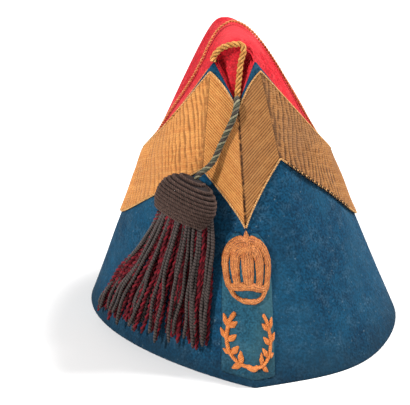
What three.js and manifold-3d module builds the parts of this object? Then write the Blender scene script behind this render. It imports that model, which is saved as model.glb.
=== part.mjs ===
// Folded cloth forage cap with a gold braid, cord pipings and a hanging tassel.
// Millimetres. The origin is on the ground at the middle of the rim, +Z is up,
// the front peak faces -Y and +X is on the viewer's right.
import * as THREE from 'three';
import { mergeVertices } from 'three/addons/utils/BufferGeometryUtils.js';
import Module from 'manifold-3d';

const manifold = await Module();
manifold.setup();

// Whole cap
const RIM_HALF_WIDTH = 87;
const RIM_HALF_LENGTH = 107;
const RIM_POINT = 1.75; // power that draws the rim's front and back to a point
const RIM_SHIFT = -1.3; // the rim's sides lie off the middle
const RIM_SWELL = 6.5; // the rim's right half swells out near its front
const SWELL_PLACE = 0.27;
const SWELL_REACH = 0.115;
const TIP_HEIGHT = 161; // the turban's two front tips
const EDGE_HALF_WIDTH = 50; // the turban's top edge at its widest
const CROWN_HEIGHT = 170; // top of the folded crown
const TOP_LEAN = -9; // the top leans to the viewer's left
const LEAN_POWER = 1.2;
const RIM_SKEW = -0.12; // the rim's right half lies further forward

// Cloth
const TURBAN_WALL = 2.4;
const CROWN_WALL = 1.8;
const CLEARANCE = 0.3;
const HEM_ROUND = 0.6; // rounding of the cloth's folded lower edge
const TUCK_DEPTH = 9; // how far the crown's cloth goes down inside the turban
const CREST_ROUND = 28; // the larger, the rounder the crown's crest
const LEFT_SWELL = -0.2; // how far the crown's flanks swell outwards
const RIGHT_SWELL = 2.6;
const PLEAT_DEPTH = 5; // the two creases inside the front fold
const HOLLOW_DEPTH = 2.5; // the panel between those creases
const PLEAT_PLACE = 0.57; // share of the fold's half-width
const PLEAT_REACH = 0.14;
const FOLD_PUSH = 2; // the deepest soft fold of the turban

// Braid, cords and badge
const BRAID_THICKNESS = 1.2;
const SEAM_PIPING_RADIUS = 0.8;
const EDGE_PIPING_RADIUS = 0.7;
const FOLD_CORD_RADIUS = 1.7;
const TASSEL_CORD_RADIUS = 1.8;
const CORD_LIFT = 0.3; // how far a cord stands off its seat, beyond the clearance
const PATCH_THICKNESS = 0.8;
const PATCH_HALF_WIDTH = 13.6;
const BADGE_TOP_SHARE = 0.55; // share of the front crease at the badge's top
const BADGE_LEAN = 5.5; // how far the badge is shifted left a whole front below its top
const STITCH_HEIGHT = 1.4; // how far the embroidery stands off its patch
const BAR_WIDTH = 3; // a thick bar of the embroidery
const LEAF_WIDTH = 2.6;

// A place of 0 is the front crease, 1 the back crease, TIP_PLACE a front tip.
const TIP_PLACE = 0.2;

// The turban's top edge: across, along and up are shares of EDGE_HALF_WIDTH,
// RIM_HALF_LENGTH and TIP_HEIGHT.
const EDGE_SECTIONS = [
  { place: 0, across: 0, along: -0.505, up: 0.863 },
  { place: TIP_PLACE, across: 0.24, along: -0.415, up: 1 },
  { place: 0.35, across: 0.69, along: -0.245, up: 0.775 },
  { place: 0.5, across: 1, along: 0.025, up: 0.6 },
  { place: 0.65, across: 0.95, along: 0.3, up: 0.55 },
  { place: 0.82, across: 0.56, along: 0.52, up: 0.635 },
  { place: 1, across: 0, along: 0.64, up: 0.775 },
];

// The braid: low and high are shares of the way from the rim to the top edge,
// and rightLift raises the lower edge on the viewer's right.
const BRAID_SECTIONS = [
  { place: 0, low: 0.572, high: 0.97, rightLift: 0 },
  { place: TIP_PLACE, low: 0.665, high: 0.962, rightLift: 0.037 },
  { place: 0.35, low: 0.648, high: 0.978, rightLift: 0.025 },
  { place: 0.5, low: 0.578, high: 0.985, rightLift: 0.015 },
  { place: 0.65, low: 0.56, high: 0.985, rightLift: 0 },
  { place: 0.82, low: 0.6, high: 0.985, rightLift: 0 },
  { place: 1, low: 0.66, high: 0.98, rightLift: 0 },
];

// The crown's crest: sway, along and up are shares of EDGE_HALF_WIDTH,
// RIM_HALF_LENGTH and CROWN_HEIGHT.
const CREST_SECTIONS = [
  { place: TIP_PLACE, sway: 0.06, along: -0.25, up: 0.995 },
  { place: 0.35, sway: 0.04, along: -0.13, up: 1 },
  { place: 0.5, sway: 0, along: 0, up: 0.995 },
  { place: 0.65, sway: -0.05, along: 0.14, up: 0.985 },
  { place: 0.82, sway: -0.1, along: 0.28, up: 0.94 },
  { place: 1, sway: -0.14, along: 0.42, up: 0.85 },
];

// Top of the fold between the two tips, in the same shares as the crest
const FOLD_TOP = { sway: 0.04, along: -0.36, up: 0.985 };

// Soft folds and dents of the turban: side is -1 on the viewer's left and 1 on
// the right, push is the outward travel as a share of FOLD_PUSH, reach is in
// places.
const CLOTH_FOLDS = [
  { side: 1, place: TIP_PLACE, reach: 0.035, push: 0.6 },
  { side: 1, place: 0.3, reach: 0.07, push: -0.8 },
  { side: 1, place: 0.46, reach: 0.1, push: -0.7 },
  { side: -1, place: TIP_PLACE, reach: 0.035, push: 0.4 },
  { side: -1, place: 0.32, reach: 0.07, push: -0.5 },
  { side: 1, place: 0.76, reach: 0.07, push: -1 },
  { side: -1, place: 0.7, reach: 0.08, push: -0.7 },
];

// Columns from the front crease to the back crease, closer where it turns
const PLACES = [
  0, 0.02, 0.04, 0.06, 0.08, 0.1, 0.125, 0.15, 0.175, TIP_PLACE, 0.225, 0.26, 0.3, 0.34, 0.38,
  0.42, 0.46, 0.5, 0.54, 0.58, 0.63, 0.68, 0.74, 0.8, 0.86, 0.91, 0.95, 0.98, 1,
];

// A named column of a table at a place, smooth but for a corner at the tip
function valueAt(table, column, place) {
  const part = table.filter((row) =>
    place < TIP_PLACE ? row.place <= TIP_PLACE : row.place >= TIP_PLACE,
  );
  const last = part.length - 1;
  const slope = (i) => {
    const before = part[Math.max(i - 1, 0)];
    const after = part[Math.min(i + 1, last)];
    return (after[column] - before[column]) / (after.place - before.place);
  };
  let i = 0;
  while (i < last - 1 && place > part[i + 1].place) i += 1;
  const run = part[i + 1].place - part[i].place;
  const t = (place - part[i].place) / run;
  return (
    (2 * t ** 3 - 3 * t ** 2 + 1) * part[i][column] +
    (t ** 3 - 2 * t ** 2 + t) * run * slope(i) +
    (3 * t ** 2 - 2 * t ** 3) * part[i + 1][column] +
    (t ** 3 - t ** 2) * run * slope(i + 1)
  );
}

// Leans and skews a point of the even cap, x being measured to its own side
function settle(side, [x, y, z]) {
  const height = Math.min(Math.max(z / CROWN_HEIGHT, 0), 1.1);
  const across = side * x;
  return [
    across + TOP_LEAN * height ** LEAN_POWER,
    y + RIM_SKEW * across * (1 - height),
    z,
  ];
}

function mix(a, b, share) {
  return a.map((value, axis) => value + (b[axis] - value) * share);
}

// Level direction that leads out of the turban at a place
function outwards(place) {
  const turn = Math.PI * place;
  return [Math.max(Math.sin(turn), 0) ** 0.7, -1.1 * Math.cos(turn), 0];
}

function rimPoint(side, place) {
  const turn = Math.PI * place;
  const wide = (RIM_HALF_WIDTH + side * RIM_SHIFT) * Math.max(Math.sin(turn), 0) ** RIM_POINT;
  const swell = side < 0 ? 0 : RIM_SWELL * Math.exp(-(((place - SWELL_PLACE) / SWELL_REACH) ** 2));
  const along = outwards(place);
  return [wide + along[0] * swell, -RIM_HALF_LENGTH * Math.cos(turn) + along[1] * swell, 0];
}

function edgePoint(place) {
  return [
    EDGE_HALF_WIDTH * valueAt(EDGE_SECTIONS, 'across', place),
    RIM_HALF_LENGTH * valueAt(EDGE_SECTIONS, 'along', place),
    TIP_HEIGHT * valueAt(EDGE_SECTIONS, 'up', place),
  ];
}

function foldPush(side, place, share) {
  const rise = FOLD_PUSH * Math.sin(Math.PI * Math.min(Math.max(share, 0), 1));
  return CLOTH_FOLDS.filter((fold) => fold.side === side).reduce(
    (sum, fold) => sum + fold.push * rise * Math.exp(-(((place - fold.place) / fold.reach) ** 2)),
    0,
  );
}

// Point of the turban's outer face before it leans, share 0 being the rim
function evenFlank(side, place, share, out) {
  const push = out + foldPush(side, place, share);
  const along = outwards(place);
  return mix(rimPoint(side, place), edgePoint(place), share).map(
    (value, axis) => value + along[axis] * push,
  );
}

function flank(side, place, share, out) {
  return settle(side, evenFlank(side, place, share, out));
}

// Point of the crown's cloth. Rows from -1 to 0 are tucked inside the turban,
// 0 to 1 climb the front fold and 1 to 2 lead on to the crest. A positive inset
// goes into the crown.
function crownPoint(side, place, row, inset) {
  const depth = TURBAN_WALL + CLEARANCE + inset;
  const sweep = outwards(place);
  const inside = (point) => point.map((value, axis) => value - sweep[axis] * depth);
  const edge = inside(edgePoint(place));
  const crest = [
    side * EDGE_HALF_WIDTH * valueAt(CREST_SECTIONS, 'sway', Math.max(place, TIP_PLACE)),
    RIM_HALF_LENGTH * valueAt(CREST_SECTIONS, 'along', Math.max(place, TIP_PLACE)),
    CROWN_HEIGHT * valueAt(CREST_SECTIONS, 'up', Math.max(place, TIP_PLACE)) - 1.6 * inset,
  ];
  if (row <= 0) {
    const length = new THREE.Vector3(...edgePoint(place))
      .distanceTo(new THREE.Vector3(...rimPoint(side, place)));
    const shift = foldPush(side, place, 1 - TUCK_DEPTH / length) * -row;
    const tucked = inside(mix(rimPoint(side, place), edgePoint(place), 1 - TUCK_DEPTH / length));
    return settle(side, mix(edge, tucked, -row).map((value, axis) => value + sweep[axis] * shift));
  }
  const brow = place < TIP_PLACE ? foldBrow(side, place, inset) : edge;
  if (row <= 1) {
    const face = mix(edge, brow, row);
    face[1] += place < TIP_PLACE ? pleatDepth(face, row) : 0;
    return settle(side, face);
  }
  const fall = 2 - row;
  const point = mix(crest, brow, fall);
  const drop = crest[2] - brow[2];
  const climb = Math.sqrt(Math.max((drop + CREST_ROUND) ** 2 - CREST_ROUND ** 2, 0));
  point[2] = crest[2] - (Math.hypot(climb * fall, CREST_ROUND) - CREST_ROUND);
  const swell = side < 0 ? LEFT_SWELL : RIGHT_SWELL;
  point[0] += swell * Math.sin(Math.PI * fall) * Math.min(place / TIP_PLACE, 1);
  return settle(side, point);
}

// Quarter arc from a tip, at TIP_PLACE, to the top of the front fold, at 0
function foldBrow(side, place, inset) {
  const turn = (Math.PI / 2) * (place / TIP_PLACE);
  const depth = TURBAN_WALL + CLEARANCE + inset;
  const tip = edgePoint(TIP_PLACE).map((value, axis) => value - outwards(TIP_PLACE)[axis] * depth);
  const top = [
    side * EDGE_HALF_WIDTH * FOLD_TOP.sway,
    RIM_HALF_LENGTH * FOLD_TOP.along + inset,
    CROWN_HEIGHT * FOLD_TOP.up - inset,
  ];
  return [
    top[0] + (tip[0] - top[0]) * Math.sin(turn),
    tip[1] + (top[1] - tip[1]) * Math.cos(turn),
    tip[2] + (top[2] - tip[2]) * Math.cos(turn),
  ];
}

// Depth of the two creases and the hollow panel that run down to the notch
function pleatDepth(face, row) {
  const notch = edgePoint(0)[2];
  const tip = edgePoint(TIP_PLACE);
  const spread = tip[0] / (tip[2] - notch);
  const swing = Math.abs(face[0]) / Math.max(face[2] - notch + 3, 1) / spread;
  const crease = Math.exp(-(((swing - PLEAT_PLACE) / PLEAT_REACH) ** 2));
  const panel = Math.min(Math.max(2 - 2 * swing, 0), 1);
  return (PLEAT_DEPTH * crease + HOLLOW_DEPTH * panel) * Math.sin(Math.PI * row) ** 0.7;
}

// One closed body from points and triangles, with its faces turned outwards
function bodyFrom(points, triangles) {
  const loose = new THREE.BufferGeometry();
  loose.setAttribute('position', new THREE.Float32BufferAttribute(points.flat(), 3));
  loose.setIndex(triangles.flat());
  const merged = mergeVertices(loose, 1e-3);
  const position = merged.getAttribute('position');
  const index = merged.getIndex().array;
  const corner = [new THREE.Vector3(), new THREE.Vector3(), new THREE.Vector3()];
  const kept = [];
  let volume = 0;
  for (let i = 0; i < index.length; i += 3) {
    const [a, b, c] = [index[i], index[i + 1], index[i + 2]];
    if (a === b || b === c || c === a) continue;
    kept.push(a, b, c);
    [a, b, c].forEach((vertex, k) => corner[k].fromBufferAttribute(position, vertex));
    volume += corner[0].dot(corner[1].clone().cross(corner[2]));
  }
  if (volume < 0) kept.reverse();
  merged.setIndex(kept);
  merged.computeVertexNormals();
  return merged;
}

// Triangles between the neighbouring rows of a grid of points
function quads(rows, columns, loopRows, loopColumns, start = 0, flipped = false) {
  const triangles = [];
  for (let i = 0; i < rows - (loopRows ? 0 : 1); i += 1) {
    for (let j = 0; j < columns - (loopColumns ? 0 : 1); j += 1) {
      const a = start + i * columns + j;
      const b = start + i * columns + ((j + 1) % columns);
      const c = start + ((i + 1) % rows) * columns + j;
      const d = start + ((i + 1) % rows) * columns + ((j + 1) % columns);
      triangles.push(flipped ? [a, c, b] : [a, b, c], flipped ? [b, c, d] : [b, d, c]);
    }
  }
  return triangles;
}

// Body swept through rings of points, closed by a fan at each end
function sweep(rings) {
  const count = rings[0].length;
  const points = rings.flat();
  const triangles = quads(rings.length, count, false, true);
  const last = (rings.length - 1) * count;
  for (let j = 1; j < count - 1; j += 1) {
    triangles.push([0, j + 1, j], [last, last + j, last + j + 1]);
  }
  return bodyFrom(points, triangles);
}

// Every column round the cap: up its right side, then back along its left
function columnsAround() {
  const right = PLACES.map((place) => ({ side: 1, place }));
  const left = PLACES.slice(1, -1).reverse().map((place) => ({ side: -1, place }));
  return [...right, ...left];
}

function turbanGeometry() {
  const outer = [0.01, 0.12, 0.25, 0.4, 0.55, 0.7, 0.85, 0.99];
  const inner = [0.99, 0.66, 0.33, 0.01];
  const ring = [
    [0, -HEM_ROUND],
    ...outer.map((share) => [share, 0]),
    [1, -HEM_ROUND],
    [1, HEM_ROUND - TURBAN_WALL],
    ...inner.map((share) => [share, -TURBAN_WALL]),
    [0, HEM_ROUND - TURBAN_WALL],
  ];
  const columns = columnsAround();
  const points = columns.flatMap(({ side, place }) =>
    ring.map(([share, out]) => flank(side, place, share, out)),
  );
  return bodyFrom(points, quads(columns.length, ring.length, true, true));
}

function crownGeometry() {
  const outer = [-1, -0.5, 0, 0.12, 0.3, 0.5, 0.7, 0.88, 1, 1.15, 1.35, 1.55, 1.72, 1.84, 1.93, 2];
  const inner = [-1, 0, 0.3, 0.6, 1, 1.35, 1.7, 1.9, 2];
  const columns = columnsAround();
  const skin = (rows, inset) =>
    columns.flatMap(({ side, place }) => rows.map((row) => crownPoint(side, place, row, inset)));
  const points = [...skin(outer, 0), ...skin(inner, CROWN_WALL)];
  const start = columns.length * outer.length;
  const triangles = [
    ...quads(columns.length, outer.length, true, false),
    ...quads(columns.length, inner.length, true, false, start, true),
  ];
  columns.forEach((_, i) => {
    const next = (i + 1) % columns.length;
    const [a, b] = [i * outer.length, next * outer.length];
    const [c, d] = [start + i * inner.length, start + next * inner.length];
    triangles.push([a, b, c], [b, d, c]);
  });
  return bodyFrom(points, triangles);
}

function braidGeometry(side) {
  const near = CLEARANCE;
  const far = CLEARANCE + BRAID_THICKNESS;
  const ring = [
    [0, near], [0, 0.7 * far], [0.03, far], [0.35, far], [0.65, far], [0.97, far],
    [1, 0.7 * far], [1, near], [0.65, near], [0.35, near],
  ];
  const rings = PLACES.map((place) => {
    const lift = side < 0 ? 0 : valueAt(BRAID_SECTIONS, 'rightLift', place);
    const low = valueAt(BRAID_SECTIONS, 'low', place) + lift;
    const high = valueAt(BRAID_SECTIONS, 'high', place);
    return ring.map(([share, out]) => {
      const point = evenFlank(side, place, low + (high - low) * share, out);
      return settle(side, [point[0] + CLEARANCE / 2, point[1], point[2]]);
    });
  });
  return sweep(rings);
}

// Round cord along a line of points
function cordGeometry(points, radius, steps, sides) {
  const path = new THREE.CatmullRomCurve3(points.map((point) => new THREE.Vector3(...point)));
  const circle = new THREE.Shape();
  circle.absarc(0, 0, radius, 0, 2 * Math.PI, false);
  const cord = new THREE.ExtrudeGeometry(circle, {
    extrudePath: path,
    steps,
    curveSegments: sides / 2,
    bevelEnabled: false,
  });
  cord.deleteAttribute('normal');
  cord.deleteAttribute('uv');
  return mergeVertices(cord, 1e-3);
}

// The thin piping over the crown's flanks and crest, from low on the left to
// low on the right: rows are the crown's rows.
const SEAM_PIPING = [
  { side: -1, place: 0.47, row: 1.07 },
  { side: -1, place: 0.443, row: 1.16 },
  { side: -1, place: 0.4, row: 1.25 },
  { side: -1, place: 0.372, row: 1.36 },
  { side: -1, place: 0.373, row: 1.5 },
  { side: -1, place: 0.4, row: 1.65 },
  { side: -1, place: 0.425, row: 1.8 },
  { side: -1, place: 0.425, row: 1.93 },
  { side: 1, place: 0.435, row: 1.97 },
  { side: 1, place: 0.435, row: 1.85 },
  { side: 1, place: 0.41, row: 1.7 },
  { side: 1, place: 0.39, row: 1.5 },
  { side: 1, place: 0.4, row: 1.3 },
  { side: 1, place: 0.425, row: 1.15 },
  { side: 1, place: 0.45, row: 1.06 },
];

function seamPipingGeometry() {
  const stand = CLEARANCE + SEAM_PIPING_RADIUS + CORD_LIFT;
  const points = SEAM_PIPING.map(({ side, place, row }) => crownPoint(side, place, row, -stand));
  return cordGeometry(points, SEAM_PIPING_RADIUS, 42, 6);
}

function edgePipingGeometry() {
  const stand = CLEARANCE + EDGE_PIPING_RADIUS + CORD_LIFT;
  const places = [0.225, 0.26, 0.3, 0.34, 0.38, 0.42, 0.46, 0.5, 0.54];
  const points = places.map((place) => crownPoint(-1, place, 1.045, -stand));
  return cordGeometry(points, EDGE_PIPING_RADIUS, 20, 6);
}

// The thick cord over the front fold: up its left brow, then down the panel
const FOLD_CORD = [
  { side: -1, place: 0.195, row: 1.01 },
  { side: -1, place: 0.15, row: 1.02 },
  { side: -1, place: 0.09, row: 1.03 },
  { side: -1, place: 0.043, row: 1.04 },
  { side: 1, place: 0.004, row: 1.05 },
  { side: 1, place: 0.036, row: 1.02 },
  { side: 1, place: 0.047, row: 0.87 },
  { side: 1, place: 0.028, row: 0.66 },
  { side: 1, place: 0.016, row: 0.43 },
  { side: 1, place: 0.003, row: 0.24 },
];

function foldCordGeometry() {
  const stand = CLEARANCE + FOLD_CORD_RADIUS + CORD_LIFT;
  const points = FOLD_CORD.map(({ side, place, row }) => crownPoint(side, place, row, -stand));
  return cordGeometry(points, FOLD_CORD_RADIUS, 26, 8);
}

// The tassel's head: a wound dome, rows from its neck to its open foot. Width
// and depth are shares of the head's half-width and half-depth.
const HEAD_HALF_WIDTH = 17.5;
const HEAD_HALF_DEPTH = 12;
const HEAD_LENGTH = 24;
const HEAD_ROWS = [
  { down: 0.02, width: 0.2, depth: 0.25 },
  { down: 0.08, width: 0.48, depth: 0.5 },
  { down: 0.18, width: 0.72, depth: 0.72 },
  { down: 0.34, width: 0.92, depth: 0.9 },
  { down: 0.55, width: 1, depth: 1 },
  { down: 0.78, width: 0.97, depth: 0.95 },
  { down: 0.95, width: 0.86, depth: 0.82 },
  { down: 1, width: 0.7, depth: 0.62 },
];
const HEAD_TOP_PLACE = 0.178;
const HEAD_TOP_SHARE = 0.668;
const HEAD_FOOT_PLACE = 0.217;
const HEAD_FOOT_SHARE = 0.51;
const NECK_STAND = 0.92 * HEAD_HALF_DEPTH;
const FOOT_STAND = 1.18 * HEAD_HALF_DEPTH;

// Locks of the tassel: from and to are places on the turban at the lock's root
// and end, foot is the share of the turban's height where it ends, out is a
// share of FOOT_STAND and girth a share of LOCK_RADIUS.
const LOCK_RADIUS = 4.8;
const LOCKS = [
  { from: 0.278, to: 0.43, foot: 0.09, out: 0.33, girth: 0.85 },
  { from: 0.262, to: 0.372, foot: 0.09, out: 0.5, girth: 0.96 },
  { from: 0.242, to: 0.322, foot: 0.1, out: 0.58, girth: 1 },
  { from: 0.222, to: 0.28, foot: 0.11, out: 0.62, girth: 1 },
  { from: 0.202, to: 0.245, foot: 0.11, out: 0.62, girth: 1 },
  { from: 0.182, to: 0.213, foot: 0.1, out: 0.58, girth: 1 },
  { from: 0.162, to: 0.184, foot: 0.1, out: 0.5, girth: 0.96 },
  { from: 0.145, to: 0.162, foot: 0.12, out: 0.38, girth: 0.83 },
];
const LOCK_ROOT_SHARE = 0.545;
const LOCK_STEPS = 7;
const LOCK_SIDES = 7;

// Directions of the tassel's head: across and out of the turban, and down it
function headFrame() {
  const at = (place, share, out) => new THREE.Vector3(...flank(-1, place, share, out));
  const top = at(HEAD_TOP_PLACE, HEAD_TOP_SHARE, NECK_STAND);
  const down = at(HEAD_FOOT_PLACE, HEAD_FOOT_SHARE, FOOT_STAND).sub(top).normalize();
  const across = at(HEAD_TOP_PLACE - 0.04, HEAD_TOP_SHARE, NECK_STAND).sub(top);
  across.addScaledVector(down, -across.dot(down)).normalize();
  return { top, down, across, out: across.clone().cross(down).negate() };
}

// The free cord from the notch to the tassel's neck, on the viewer's left of
// the front crease: lift is how far it is off the braid that it lies on.
const TASSEL_CORD = [
  { place: 0, share: 1.035, lift: -4.4 },
  { place: 0.006, share: 1.012, lift: -0.6 },
  { place: 0.03, share: 0.955, lift: 0.8 },
  { place: 0.06, share: 0.903, lift: 0.4 },
  { place: 0.115, share: 0.802, lift: 0.4 },
  { place: 0.147, share: 0.725, lift: 2.2 },
];

function tasselCordGeometry() {
  const stand = 2 * CLEARANCE + BRAID_THICKNESS + TASSEL_CORD_RADIUS;
  const points = TASSEL_CORD.map(({ place, share, lift }) => flank(-1, place, share, stand + lift));
  const { top, down } = headFrame();
  const reach = HEAD_LENGTH * HEAD_ROWS[0].down - CLEARANCE;
  points.push(top.clone().addScaledVector(down, reach - TASSEL_CORD_RADIUS).toArray());
  points.push(top.clone().addScaledVector(down, reach).toArray());
  return cordGeometry(points, TASSEL_CORD_RADIUS, 22, 8);
}

function headGeometry() {
  const { top, down, across, out } = headFrame();
  const sides = 20;
  const rings = HEAD_ROWS.map((row) =>
    Array.from({ length: sides }, (_, i) => {
      const turn = (2 * Math.PI * i) / sides;
      return top
        .clone()
        .addScaledVector(down, HEAD_LENGTH * row.down)
        .addScaledVector(across, HEAD_HALF_WIDTH * row.width * Math.cos(turn))
        .addScaledVector(out, HEAD_HALF_DEPTH * row.depth * Math.sin(turn))
        .toArray();
    }),
  );
  return sweep(rings);
}

function lockGeometry(lock) {
  const { top, down, out } = headFrame();
  const rings = [];
  for (let i = 0; i <= LOCK_STEPS; i += 1) {
    const t = i / LOCK_STEPS;
    const ease = 1 - (1 - t) ** 1.6;
    const place = lock.from + (lock.to - lock.from) * ease;
    const share = LOCK_ROOT_SHARE + (lock.foot - LOCK_ROOT_SHARE) * t;
    const stand = FOOT_STAND * (0.85 + (lock.out - 0.85) * Math.min(t * 1.6, 1));
    const centre = new THREE.Vector3(...flank(-1, place, share, stand));
    const beside = new THREE.Vector3(...flank(-1, place - 0.02, share, stand)).sub(centre);
    beside.addScaledVector(down, -beside.dot(down)).normalize();
    const girth = LOCK_RADIUS * lock.girth * (i === LOCK_STEPS ? 0.75 : 1);
    const ring = [];
    for (let j = 0; j < LOCK_SIDES; j += 1) {
      const turn = (2 * Math.PI * j) / LOCK_SIDES;
      ring.push(
        centre
          .clone()
          .addScaledVector(beside, girth * 1.15 * Math.cos(turn))
          .addScaledVector(out, girth * 0.75 * Math.sin(turn))
          .toArray(),
      );
    }
    rings.push(ring);
  }
  rings.unshift(rings[0].map((point) => mix(point, top.toArray(), 0.25)));
  return sweep(rings);
}

// Joins closed bodies that overlap into one, without specks of trapped air
function fuse(bodies) {
  const solids = bodies.map((body) => {
    const mesh = new manifold.Mesh({
      numProp: 3,
      vertProperties: new Float32Array(body.getAttribute('position').array),
      triVerts: new Uint32Array(body.getIndex().array),
    });
    return new manifold.Manifold(mesh);
  });
  const parts = solids.reduce((sum, solid) => sum.add(solid)).simplify(0.12).decompose();
  const joined = parts.sort((a, b) => b.volume() - a.volume())[0].getMesh();
  const geometry = new THREE.BufferGeometry();
  geometry.setAttribute('position', new THREE.Float32BufferAttribute(joined.vertProperties, 3));
  geometry.setIndex(Array.from(joined.triVerts));
  geometry.computeVertexNormals();
  return geometry;
}

function tasselGeometry() {
  return fuse([headGeometry(), ...LOCKS.map(lockGeometry)]);
}

// Point on the front panel, offset in mm from the front crease and share up the
// flank. The badge's shift makes its left half wider and its right half narrower,
// and the place is found by halving.
function frontPoint(offset, share, out) {
  const side = offset < 0 ? -1 : 1;
  const shift = (BADGE_LEAN * Math.max(BADGE_TOP_SHARE - share, 0)) / PATCH_HALF_WIDTH;
  const across = offset * (1 - side * shift);
  let [low, high] = [0, 0.3];
  for (let i = 0; i < 24; i += 1) {
    const middle = (low + high) / 2;
    const reach = mix(rimPoint(side, middle), edgePoint(middle), share)[0];
    if (reach < Math.abs(across)) low = middle;
    else high = middle;
  }
  return flank(side, low, share, out);
}

// The cloth patch behind the badge: half is a share of PATCH_HALF_WIDTH
const PATCH_ROWS = [
  { share: 0.03, half: 0.99 },
  { share: 0.04, half: 1.03 },
  { share: 0.14, half: 1 },
  { share: 0.24, half: 0.98 },
  { share: 0.34, half: 0.95 },
  { share: 0.42, half: 0.88 },
  { share: 0.48, half: 0.7 },
  { share: 0.52, half: 0.45 },
  { share: 0.535, half: 0.2 },
];
const PATCH_COLUMNS = [-1, -0.8, -0.6, -0.4, -0.2, 0, 0.2, 0.4, 0.6, 0.8, 1];
const PATCH_STAND = CLEARANCE + 0.05;

function patchGeometry() {
  const near = PATCH_STAND;
  const far = PATCH_STAND + PATCH_THICKNESS;
  const rings = PATCH_ROWS.map(({ share, half }) => {
    const across = (column) => column * half * PATCH_HALF_WIDTH;
    const front = PATCH_COLUMNS.map((column) => frontPoint(across(column), share, far));
    const back = PATCH_COLUMNS.map((column) => frontPoint(across(column), share, near));
    return [...front, ...back.reverse()];
  });
  return sweepStrip(rings, PATCH_COLUMNS.length);
}

// Body swept through flat rings whose front and back rows face each other
function sweepStrip(rings, count) {
  const wide = 2 * count;
  const points = rings.flat();
  const triangles = quads(rings.length, wide, false, true);
  const last = (rings.length - 1) * wide;
  for (let j = 0; j < count - 1; j += 1) {
    const back = wide - 1 - j;
    triangles.push([j, back, j + 1], [j + 1, back, back - 1]);
    triangles.push([last + j, last + j + 1, last + back]);
    triangles.push([last + j + 1, last + back - 1, last + back]);
  }
  return bodyFrom(points, triangles);
}

// Embroidered bar on the front panel, rounded off. Its line holds pairs of
// across, a share of PATCH_HALF_WIDTH, and share, up the front crease.
function stitchBar(line, width, steps) {
  const rise = Math.hypot(edgePoint(0)[1] + RIM_HALF_LENGTH, edgePoint(0)[2]);
  const path = new THREE.CatmullRomCurve3(
    line.map(([across, share]) => new THREE.Vector3(across * PATCH_HALF_WIDTH, share * rise, 0)),
  );
  const base = PATCH_STAND + PATCH_THICKNESS + CLEARANCE;
  const section = [
    [-1, 0], [-1, 0.3], [-0.6, 0.85], [0, 1], [0.6, 0.85], [1, 0.3], [1, 0], [0, 0],
  ];
  const rings = [];
  for (let i = 0; i <= steps; i += 1) {
    const at = path.getPointAt(i / steps);
    const along = path.getTangentAt(i / steps);
    const half = (width / 2) * (i === 0 || i === steps ? 0.5 : 1);
    rings.push(
      section.map(([beside, height]) =>
        frontPoint(
          at.x - along.y * half * beside,
          (at.y + along.x * half * beside) / rise,
          base + STITCH_HEIGHT * height,
        ),
      ),
    );
  }
  return sweep(rings);
}

// Bars of the crown badge, each with its width as a share of BAR_WIDTH
const CROWN_BARS = [
  { line: [[-0.7, 0.328], [-0.36, 0.341], [0, 0.362], [0.36, 0.341], [0.7, 0.328]], width: 1.13 },
  { line: [[-0.69, 0.333], [-0.44, 0.302], [0, 0.306], [0.44, 0.302], [0.69, 0.333]], width: 0.87 },
  { line: [[-0.67, 0.322], [-0.77, 0.382], [-0.71, 0.432], [-0.45, 0.483], [-0.1, 0.525]],
    width: 1 },
  { line: [[0.67, 0.322], [0.77, 0.382], [0.71, 0.432], [0.45, 0.483], [0.1, 0.525]], width: 1 },
  { line: [[-0.38, 0.337], [-0.45, 0.4], [-0.39, 0.45], [-0.2, 0.488], [-0.1, 0.5]],
    width: 1.4 },
  { line: [[0.38, 0.337], [0.45, 0.4], [0.39, 0.45], [0.2, 0.488], [0.1, 0.5]], width: 1.4 },
  { line: [[0, 0.36], [0, 0.41], [0, 0.46], [0, 0.51], [0, 0.556]], width: 1.8 },
];

function crownBadgeGeometry() {
  return fuse(CROWN_BARS.map(({ line, width }) => stitchBar(line, width * BAR_WIDTH, 8)));
}

// The wreath below the crown: two sprays that rise from a tie, with leaves that
// set out from across and share
const WREATH_TIE = [[-0.19, 0.079], [0, 0.072], [0.19, 0.079]];
const WREATH_STEM = [
  [0.08, 0.075], [0.42, 0.08], [0.71, 0.108], [0.8, 0.157], [0.68, 0.215], [0.5, 0.25],
];
const WREATH_LEAVES = [
  { across: 0.36, share: 0.078, reachAcross: 0.3, reachShare: -0.024 },
  { across: 0.36, share: 0.078, reachAcross: 0, reachShare: 0.046 },
  { across: 0.68, share: 0.104, reachAcross: 0.26, reachShare: 0.008 },
  { across: 0.66, share: 0.102, reachAcross: -0.24, reachShare: 0.036 },
  { across: 0.8, share: 0.148, reachAcross: 0.2, reachShare: 0.032 },
  { across: 0.78, share: 0.142, reachAcross: -0.3, reachShare: 0.032 },
  { across: 0.75, share: 0.19, reachAcross: 0.14, reachShare: 0.042 },
  { across: 0.74, share: 0.19, reachAcross: -0.3, reachShare: 0.03 },
];

function wreathGeometry() {
  const bars = [stitchBar(WREATH_TIE, BAR_WIDTH, 4)];
  for (const side of [1, -1]) {
    const stem = WREATH_STEM.map(([across, share]) => [side * across, share]);
    bars.push(stitchBar(stem, 0.6 * BAR_WIDTH, 6));
    for (const leaf of WREATH_LEAVES) {
      const root = [side * leaf.across, leaf.share];
      const end = [side * (leaf.across + leaf.reachAcross), leaf.share + leaf.reachShare];
      bars.push(stitchBar([root, end], LEAF_WIDTH, 2));
    }
  }
  return fuse(bars);
}

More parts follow.
